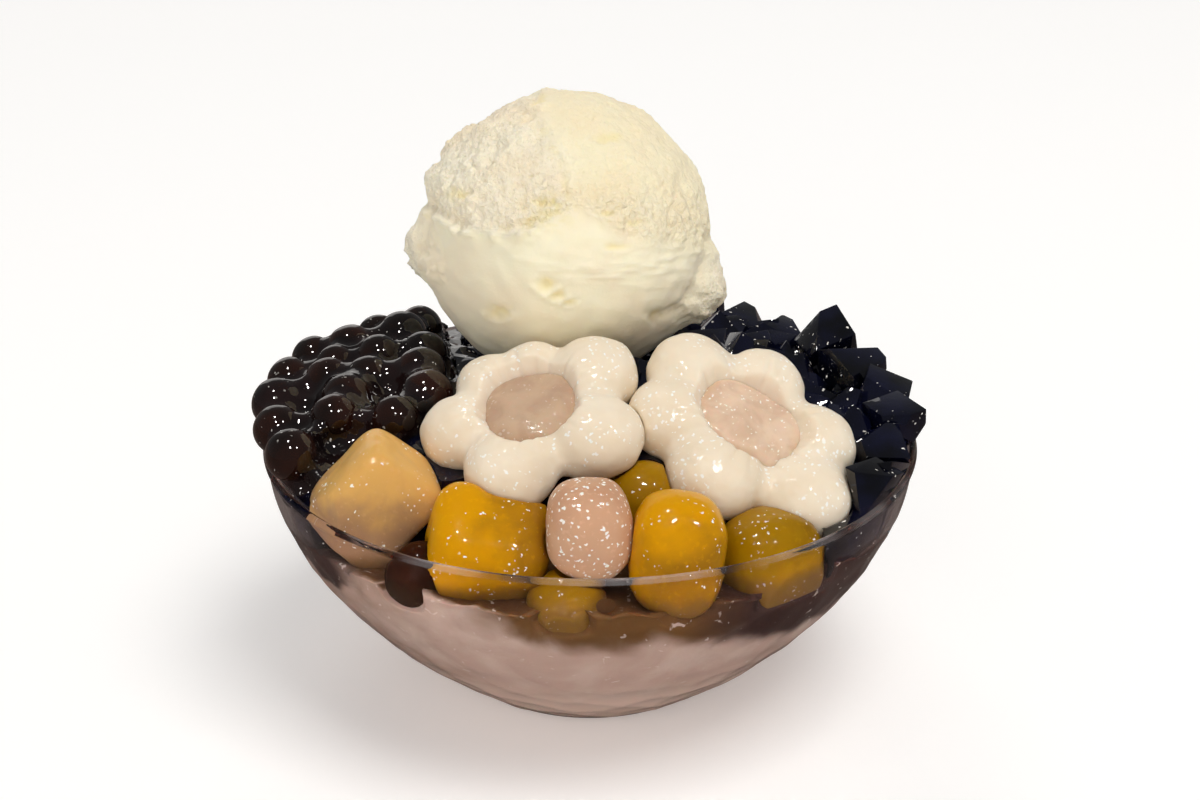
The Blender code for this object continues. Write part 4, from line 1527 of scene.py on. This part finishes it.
@dataclass
class PearlHeap(Heap):
    """Tapioca pearls lying in thick syrup on the left."""

    radius: float = 0.0052
    spacing: float = 0.0090
    lift: float = 0.0026
    wall_ring: Ring = (0.0610, 0.0507, 118.0, 212.0, 0.0110)
    rim_ring: Ring = (0.0666, 0.0615, 158.0, 204.0, 0.0108)
    core_lift: float = 0.0022
    bare_spot: Tuple[float, float] = (-0.0390, 0.0500)
    bare_radius: float = 0.006
    seed: int = 11
    syrup_voxel: float = 0.0006
    film: float = 0.0028             # how far the syrup fills the pearls' valleys
    bared: float = 0.0002            # how far the pearls' tops stand out of it

    def build(self, walls: Sequence[Mask]) -> None:
        """Lay the pearls, pour the syrup and dress both.

        Args:
            walls: what the heap may not enter.
        """
        draw = random.Random(self.seed)
        ball = fresh(bpy.ops.mesh.primitive_ico_sphere_add, subdivisions=4, radius=1.0)
        points = points_of(ball)
        waves = grain(points, 1.3, 2.0)
        move_points(ball, points * (1.0 + 0.035 * waves)[:, None])
        sample = points[::7] * 1.04

        def shape_at(_azimuth: float) -> Matrix:
            """Turn and size of a pearl."""
            turn = Euler([draw.uniform(0.0, math.tau) for _axis in range(3)]).to_matrix()
            return turn.to_4x4() @ Matrix.Scale(self.radius * draw.uniform(0.92, 1.12), 4)

        def is_bare(points: np.ndarray) -> np.ndarray:
            """Which points lie over the spot by the scoop that stays bare."""
            return np.hypot(*(points[:, :2] - self.bare_spot).T) < self.bare_radius

        own_side = [self.beyond_rim, lambda at: ~self.in_sector(at, -GAP), is_bare, *walls]
        spots = list(self.ring(*self.wall_ring)) + list(self.ring(*self.rim_ring))
        spots += list(self.scatter(draw, self.lift, 0.0022, 2400))
        matrices = self.fill(spots, shape_at, sample, self.spacing, own_side)
        pearls = self.copies(ball, matrices)
        syrup = self.pour(ball, matrices)
        discard(ball)
        settle(pearls, "tapioca_pearls", TAPIOCA.material(), Slot.PEARL, "pearl_heap")
        settle(syrup, "pearl_syrup", SYRUP.material(), Slot.PEARL, "pearl_heap")

    def pour(self, ball: Object, matrices: Sequence[Matrix]) -> Object:
        """Model the syrup as a skin over the core that fills the pearls' valleys.

        Args:
            ball: the modelled pearl.
            matrices: where the pearls lie.

        Returns:
            The syrup.
        """
        core = self.core(self.sector_sides() + [self.front_side()])
        grown = Matrix.Scale(1.0 + self.film / self.radius, 4)
        syrup = join([core, self.copies(ball, [matrix @ grown for matrix in matrices])])
        for shrink in (self.film + self.bared, 0.0):
            apply(syrup, "REMESH", mode="VOXEL", voxel_size=self.syrup_voxel)
            apply(syrup, "SMOOTH", factor=0.5, iterations=4)
            points = points_of(syrup)
            above = points[:, 2] > self.bowl.height
            points -= normals_of(syrup) * np.where(above, shrink, 0.0)[:, None]
            reach = np.hypot(points[:, 0], points[:, 1])
            room = np.minimum(1.0, self.bowl.room(points[:, 2]) / reach)
            points[:, :2] *= np.where(points[:, 2] < self.bowl.height, room, 1.0)[:, None]
            move_points(syrup, points)
        return syrup


@dataclass
class JellyHeap(Heap):
    """Broken cubes of black jelly on the right and behind."""

    size: float = 0.0112
    spacing: float = 0.0066
    lift: float = 0.0008
    core_lift: float = 0.0020
    wall_ring: Ring = (0.0600, 0.0505, -34.0, 112.0, 0.0100)
    back_ring: Ring = (0.0612, 0.0590, 32.0, 76.0, 0.0106)
    on_rim: Sequence[Tuple[Point, Point, Point]] = (
        ((0.0642, -0.0085, 0.0600), (0.0046, 0.0050, 0.0046), (4.0, -6.0, 30.0)),
        ((0.0625, 0.0020, 0.0612), (0.0050, 0.0048, 0.0046), (10.0, 20.0, -10.0)),
        ((0.0590, -0.0175, 0.0575), (0.0052, 0.0046, 0.0046), (30.0, 10.0, 20.0)),
        ((0.0575, 0.0130, 0.0640), (0.0056, 0.0050, 0.0044), (-20.0, 14.0, 40.0)),
        ((0.0525, 0.0250, 0.0655), (0.0056, 0.0050, 0.0046), (24.0, -18.0, 15.0)),
        ((0.0590, -0.0260, 0.0530), (0.0056, 0.0050, 0.0060), (-10.0, 24.0, 60.0)),
        ((0.0555, -0.0315, 0.0505), (0.0060, 0.0060, 0.0065), (20.0, -14.0, 80.0)),
        ((0.0558, -0.0316, 0.0540), (0.0036, 0.0060, 0.0066), (-10.0, 12.0, -40.0)),
    )
    pool: Tuple[Point, Point, Point] = ((0.0550, -0.0350, 0.0478), (0.0170, 0.0100, 0.0056),
                                        (0.0, 0.0, 55.0))
    kinds: int = 9
    seed: int = 5

    def shard(self, draw: random.Random) -> Object:
        """One broken cube, its new faces at random slants.

        Args:
            draw: what the slants are drawn from.

        Returns:
            The cube, of unit half size.
        """
        obj = fresh(bpy.ops.mesh.primitive_cube_add, size=2.0)
        bpy.ops.object.mode_set(mode="EDIT")
        for _cut in range(draw.randint(2, 4)):
            outward = Vector([draw.choice((-1, 1)) * draw.uniform(0.2, 1.0) for _a in range(3)])
            outward.normalize()
            bpy.ops.mesh.select_all(action="SELECT")
            bpy.ops.mesh.bisect(plane_co=outward * draw.uniform(0.72, 1.12), plane_no=outward,
                                use_fill=True, clear_outer=True)
        bpy.ops.mesh.select_all(action="SELECT")
        bpy.ops.mesh.bevel(offset=0.035, segments=2, affect="EDGES")
        bpy.ops.object.mode_set(mode="OBJECT")
        return obj

    def rim_shards(self, models: Sequence[Object],
                   clear: Sequence[Mask]) -> Tuple[List[Object], List[Matrix]]:
        """Set the shards that lie on the right rim, each pressed against its neighbours.

        Args:
            models: the broken cubes.
            clear: what the shards may not enter.

        Returns:
            The shards and their placements.
        """
        shards, matrices = [], []
        for index, (spot, half, turn) in enumerate(self.on_rim):
            matrix = placed(spot, turn) @ Matrix.Diagonal((*half, 1.0))
            block = self.copies(models[index % self.kinds], [matrix])
            move_points(block, press(points_of(block), np.array(spot), clear))
            shards.append(block)
            matrices.append(matrix)
        return shards, matrices

    def build(self, walls: Sequence[Mask]) -> None:
        """Break the cubes, heap them on their core and dress both.

        Args:
            walls: what the heap may not enter.
        """
        draw = random.Random(self.seed)
        models = [self.shard(draw) for _kind in range(self.kinds)]
        steps = np.linspace(-1.0, 1.0, 4)
        sample = np.array([(x, y, z) for x in steps for y in steps for z in steps])

        def shape(azimuth: float, wildness: float, smallest: float, largest: float) -> Matrix:
            """Turn and half sizes of a shard.

            Args:
                azimuth: where it lies, in radians.
                wildness: the most degrees that it is turned by.
                smallest: its least size, as a share of the full size.
                largest: its greatest size.

            Returns:
                Its turn and scale.
            """
            half = [self.size / 2 * draw.uniform(smallest, largest) for _axis in range(3)]
            spin = [math.radians(draw.uniform(-wildness, wildness)) for _axis in range(3)]
            turn = Euler((spin[0], 0.3 * spin[1], azimuth + spin[2])).to_matrix().to_4x4()
            return turn @ Matrix.Diagonal((*half, 1.0))

        own_side = [self.beyond_rim, lambda at: self.in_sector(at, GAP),
                    lambda at: at[:, 2] < self.foot,
                    lambda at: at[:, 1] < self.front_edge - 0.001, *walls]
        rings = list(self.ring(*self.wall_ring)) + list(self.ring(*self.back_ring))
        loose = self.fill(rings, lambda azimuth: shape(azimuth, 14.0, 0.62, 0.86), sample,
                          self.spacing, own_side)
        clear = [self.beyond_rim, *walls]
        groups, on_rim = self.rim_shards(models, clear)
        loose += self.fill(self.scatter(draw, self.lift, 0.0014, 2600),
                           lambda azimuth: shape(azimuth, 180.0, 0.62, 1.12), sample,
                           self.spacing, own_side, loose + on_rim)
        loose += self.fill(self.scatter(draw, self.lift + 0.0012, 0.0016, 2600),
                           lambda azimuth: shape(azimuth, 180.0, 0.30, 0.55), sample,
                           self.spacing * 0.55, own_side, loose + on_rim)
        groups += [self.copies(model, loose[kind::self.kinds])
                   for kind, model in enumerate(models)]
        shards = join(groups)
        discard(*models)
        pool = Lump(placed(self.pool[0], self.pool[2]), self.pool[1], 3.0).body(6)
        move_points(pool, press(points_of(pool), np.array(self.pool[0]), clear))
        core = self.core([self.front_side()])
        points = points_of(core)
        rough = grain(points, 150.0, 3.0) + 0.5 * grain(points, 400.0, 8.0)
        points[:, 2] += np.where(points[:, 2] > self.bowl.height, 0.0022 * rough - 0.0006, 0.0)
        move_points(core, points)
        pieces = ((shards, "black_jelly_shards"), (core, "black_jelly_core"),
                  (pool, "black_jelly_front"))
        for piece, name in pieces:
            settle(piece, name, JELLY.material(), Slot.JELLY, "jelly_heap")
        for obj in (shards, core):
            choose(obj)
            bpy.ops.object.shade_smooth_by_angle(angle=math.radians(24.0))


@dataclass
class WaterDrop:
    """A drop of water that clings to the bowl's outside."""

    bowl: ClearBowl
    azimuth: float = -87.5
    height: float = 0.0492
    half: Point = (0.0009, 0.0019, 0.0017)

    def build(self) -> None:
        """Model the drop, flat where it meets the wall."""
        angle = math.radians(self.azimuth)
        radius = float(self.bowl.radius(np.array([self.height]), 0.0)[0])
        centre = (radius * math.cos(angle), radius * math.sin(angle), self.height)
        lump = Lump(placed(centre, (0.0, 0.0, self.azimuth)), self.half)
        drop = lump.body(5)
        points = points_of(drop)
        reach = np.hypot(points[:, 0], points[:, 1])
        wall = self.bowl.radius(points[:, 2], 0.0) + 0.00001
        scale = np.maximum(wall / reach, 1.0)
        points[:, :2] *= scale[:, None]
        move_points(drop, points)
        settle(drop, "water_drop", glass_finish("water_drop_finish", (252, 252, 252), 0.0, 0.97),
               Slot.BOWL)


# -------------------------------------------------------------------------------------- studio
class Light(Enum):
    """What a lamp is for."""

    SOFT = "lights the pieces"
    GLINT = "shows in glossy pieces alone"


@dataclass(frozen=True)
class Lamp:
    """A studio lamp: its use, where it stands, how wide it is, its power and colour."""

    name: str
    use: Light
    place: Point
    width: float
    power: float
    colour: Rgb = (255, 251, 246)


@dataclass
class Studio:
    """A plain pale floor, soft lamps and the camera."""

    rim_height: float = 0.055
    distance: float = 0.5
    elevation: float = 24.0
    lens: float = 69.66
    shift: Tuple[float, float] = (0.0083, 0.0250)
    lamps: Sequence[Lamp] = (
        Lamp("key", Light.SOFT, (0.60, -0.60, 2.20), 1.20, 26.0),
        Lamp("fill", Light.SOFT, (-0.50, -1.90, 0.85), 1.60, 11.0),
        Lamp("back", Light.SOFT, (-0.40, 1.60, 1.80), 1.20, 8.0),
        Lamp("glint_a", Light.GLINT, (-0.28, -0.10, 1.20), 0.09, 6.0),
        Lamp("glint_c", Light.GLINT, (-0.12, -0.62, 1.00), 0.08, 5.0),
        Lamp("glint_d", Light.GLINT, (0.45, -0.50, 0.95), 0.07, 4.0),
        Lamp("edge", Light.GLINT, (-0.40, 1.60, 0.45), 0.90, 2.0),
    )
    sky: float = 0.34
    mirrored_sky: float = 0.14       # how bright glossy pieces see the sky
    mirrored_floor: Tuple[float, float, float, float] = (0.17, 0.14, 0.13, 1.0)

    def build(self) -> None:
        """Set up floor, lamps, sky and camera."""
        self.lay_floor()
        for lamp in self.lamps:
            self.hang(lamp)
        self.light_sky()
        bpy.context.scene.view_settings.view_transform = "Standard"
        self.aim()

    def lay_floor(self) -> None:
        """Lay the pale floor, dimmer where glossy and clear pieces show it."""
        floor = fresh(bpy.ops.mesh.primitive_plane_add, size=6.0, location=(0.0, 0.0, -0.0002))
        bpy.ops.object.transform_apply(location=True)
        floor.name = "floor"
        pale = Recipe("floor_finish")
        pale.set(Base_Color=(0.95, 0.95, 0.95, 1.0), Roughness=0.9, Specular_IOR_Level=0.1,
                 Emission_Color=(1.0, 1.0, 1.0, 1.0), Emission_Strength=0.18)
        dimmed = pale.add("BsdfDiffuse", {"Color": self.mirrored_floor})
        mix = pale.add("MixShader", {"Fac": self.mirrored(pale.tree),
                                     1: pale.shader.outputs["BSDF"], 2: dimmed.outputs["BSDF"]})
        pale.show(mix.outputs["Shader"])
        floor.data.materials.append(pale.material)

    @staticmethod
    def hang(lamp: Lamp) -> None:
        """Hang a lamp that faces the bowl.

        Args:
            lamp: the lamp.
        """
        light = bpy.data.lights.new(lamp.name, "AREA")
        light.size = lamp.width
        light.energy = lamp.power
        light.color = linear(lamp.colour)[:3]
        obj = bpy.data.objects.new(lamp.name, light)
        bpy.context.scene.collection.objects.link(obj)
        obj.location = lamp.place
        obj.visible_glossy = lamp.use is Light.GLINT
        obj.visible_diffuse = lamp.use is Light.SOFT
        obj.visible_transmission = lamp.use is Light.SOFT
        obj.rotation_euler = (-Vector(lamp.place)).to_track_quat("-Z", "Y").to_euler()

    def light_sky(self) -> None:
        """Light the white surroundings, dimmer where glossy and clear pieces show them."""
        world = bpy.data.worlds.new("studio")
        world.use_nodes = True
        tree = world.node_tree
        background = tree.nodes["Background"]
        background.inputs["Color"].default_value = (1.0, 1.0, 1.0, 1.0)
        strength = tree.nodes.new("ShaderNodeMapRange")
        strength.inputs["To Min"].default_value = self.sky
        strength.inputs["To Max"].default_value = self.mirrored_sky
        tree.links.new(self.mirrored(tree), strength.inputs["Value"])
        tree.links.new(strength.outputs["Result"], background.inputs["Strength"])
        bpy.context.scene.world = world

    @staticmethod
    def mirrored(tree: bpy.types.NodeTree) -> Socket:
        """Whether a ray sees its surroundings in glossy or through clear pieces.

        Args:
            tree: the node tree that asks.

        Returns:
            1 for such a ray, and 0 for the viewer's own and for soft light.
        """
        path = tree.nodes.new("ShaderNodeLightPath")
        early = tree.nodes.new("ShaderNodeMath")
        early.operation = "LESS_THAN"
        early.inputs[1].default_value = 0.5
        tree.links.new(path.outputs["Diffuse Depth"], early.inputs[0])
        indirect = tree.nodes.new("ShaderNodeMath")
        indirect.operation = "SUBTRACT"
        tree.links.new(early.outputs["Value"], indirect.inputs[0])
        tree.links.new(path.outputs["Is Camera Ray"], indirect.inputs[1])
        return indirect.outputs["Value"]

    def aim(self) -> None:
        """Set the camera at the photograph's height and distance."""
        angle = math.radians(self.elevation)
        target = Vector((0.0, 0.0, self.rim_height))
        away = Vector((0.0, -math.cos(angle), math.sin(angle)))
        camera = bpy.data.cameras.new("camera")
        camera.lens = self.lens
        camera.sensor_width = 36.0
        camera.shift_x, camera.shift_y = self.shift
        camera.clip_start = 0.01
        obj = bpy.data.objects.new("camera", camera)
        bpy.context.scene.collection.objects.link(obj)
        obj.location = target + away * self.distance
        obj.rotation_euler = (-away).to_track_quat("-Z", "Y").to_euler()
        bpy.context.scene.camera = obj


# ------------------------------------------------------------------------------- what is built
# Soft finishes: the painted lit colour, the painted shaded colour, then the glow colour.
BEIGE = SoftFinish("beige_taro_finish", (222, 172, 98), (168, 130, 98), (236, 190, 130),
                   sparkle=0.9, speckle=0.15, roughness=0.32, glint_free=0.52)
YELLOW = SoftFinish("yellow_sweet_potato_finish", (216, 152, 0), (160, 112, 26), (236, 172, 10),
                    sparkle=1.0, roughness=0.30, glint_free=0.52)
AMBER = SoftFinish("amber_sweet_potato_finish", (160, 118, 14), (130, 94, 14), (196, 144, 24),
                   sparkle=0.9, roughness=0.30, glint_free=0.54)
PINK = SoftFinish("pink_taro_finish", (212, 168, 136), (198, 152, 122), (236, 190, 160),
                  sparkle=1.0, speckle=0.3, roughness=0.30, glint_free=0.30, coat=0.5, glint_size=0.46)
BROWN = SoftFinish("pearl_front_finish", (52, 28, 18), (34, 18, 14), (90, 50, 24),
                   sparkle=0.2, speckle=0.1, roughness=0.20, glint_free=0.60, coat=0.1, haze_and_shade=0.1)
TAPIOCA = DarkFinish("tapioca_pearl_finish", (24, 18, 16), (44, 24, 18),
                     roughness=0.07, ripple=0.00008, ripple_scale=300.0, painted_glints=0.35)
SYRUP = DarkFinish("pearl_syrup_finish", (20, 15, 16), (36, 24, 24),
                   roughness=0.06, ripple=0.00020, ripple_scale=220.0)
JELLY = DarkFinish("black_jelly_finish", (9, 10, 16), (20, 22, 42),
                   roughness=0.06, ripple=0.00010, ripple_scale=420.0, painted_glints=1.0)

# In the order in which they take each other's dents.
FRONT_PIECES = (
    SoftPiece("pearl_front", (-0.0334, -0.0504, 0.0464), (0.0068, 0.0064, 0.0068), BROWN,
              Slot.PEARL),
    SoftPiece("taro_ball_pink", (-0.0002, -0.0545, 0.0582), (0.0087, 0.0080, 0.0104), PINK,
              Slot.PINK, boxiness=2.4, painted_lit_side=(0.0, -0.6, -0.3)),
    SoftPiece("taro_wedge", (-0.0432, -0.0368, 0.0560), (0.0100, 0.0090, 0.0118), BEIGE,
              Slot.BEIGE, (0.0, 42.0, 6.0), 5.0, (0.15, 0.15, 0.95)),
    SoftPiece("sweet_potato_ball_left", (-0.0204, -0.0482, 0.0512), (0.0122, 0.0112, 0.0108),
              YELLOW, Slot.YELLOW, (24.0, 12.0, 4.0), 3.4, (-0.9, -0.2, 0.3)),
    SoftPiece("sweet_potato_ball_mid", (0.0169, -0.0550, 0.0535), (0.0096, 0.0100, 0.0124),
              YELLOW, Slot.YELLOW, (-4.0, 4.0, 0.0), 2.6, (-0.5, 0.35, 0.85)),
    SoftPiece("sweet_potato_ball_right", (0.0356, -0.0452, 0.0470), (0.0108, 0.0096, 0.0102),
              AMBER, Slot.AMBER, (0.0, 0.0, 35.0), 2.5, (-0.6, -0.5, 0.6)),
    SoftPiece("sweet_potato_ball_back", (0.0105, -0.0372, 0.0545), (0.0082, 0.0076, 0.0100),
              AMBER, Slot.AMBER, boxiness=2.2),
    SoftPiece("sweet_potato_ball_low", (-0.0046, -0.0582, 0.0446), (0.0078, 0.0080, 0.0062),
              AMBER, Slot.AMBER),
)

FLOWERS = (
    DumplingFlower(
        "flower_left", (-0.0113, -0.0265, 0.0686), 25.0, -115.0,
        (
            Petal(180.0, 0.0142, 0.0082, 0.0094, -0.0003),
            Petal(130.0, 0.0124, 0.0079, 0.0087, 0.0002),
            Petal(88.0, 0.0116, 0.0083, 0.0089, -0.0002),
            Petal(37.0, 0.0154, 0.0092, 0.0098, 0.0004),
            Petal(-29.0, 0.0142, 0.0094, 0.0098, 0.0001),
            Petal(-111.0, 0.0134, 0.0098, 0.0098, 0.0005),
        ),
        ((204, 174, 146), (188, 156, 132), 0.25), 0.0001,
    ),
    DumplingFlower(
        "flower_right", (0.0312, -0.0240, 0.0650), 33.0, -60.0,
        (
            Petal(136.0, 0.0154, 0.0097, 0.0103, 0.0003),
            Petal(73.0, 0.0124, 0.0092, 0.0098, -0.0002),
            Petal(2.0, 0.0146, 0.0091, 0.0096, 0.0002),
            Petal(-42.0, 0.0182, 0.0098, 0.0099, -0.0003),
            Petal(-115.0, 0.0136, 0.0100, 0.0102, 0.0004),
            Petal(-177.0, 0.0148, 0.0090, 0.0100, 0.0001),
        ),
        ((232, 204, 178), (212, 180, 154), 0.8), 0.0005,
        disc_half=(0.0110, 0.0086, 0.0030), disc_turn=-25.0,
    ),
)


def main() -> None:
    """Build every piece in order, from the bowl to the studio."""
    bowl = ClearBowl()
    scoop = IceCreamScoop()
    log.info("bowl and milk ice")
    bowl.build()
    MilkIce(bowl).build([piece.lump() for piece in FRONT_PIECES])
    log.info("scoop and flowers")
    scoop.build()
    toppings: List[Mask] = [scoop.holds]
    for flower in FLOWERS:
        flower.build(toppings)
        toppings += [lump.holds for lump in flower.lumps()]
    log.info("soft pieces by the front wall")
    soft: List[Mask] = [bowl.keeps_out] + toppings[1:]
    for piece in FRONT_PIECES:
        piece.build(soft)
        soft.append(piece.lump().holds)
    log.info("heaps")
    walls = toppings + [piece.lump().holds for piece in FRONT_PIECES]
    PearlHeap(bowl, shoulder_radius=0.0645, shoulder_height=0.0586, top=0.0658).build(walls)
    JellyHeap(bowl, shoulder_radius=0.0608, shoulder_height=0.0542, top=0.0654).build(walls)
    WaterDrop(bowl).build()
    Studio().build()


if __name__ == "__main__":
    logging.basicConfig(level=logging.INFO, format="%(message)s")
    main()
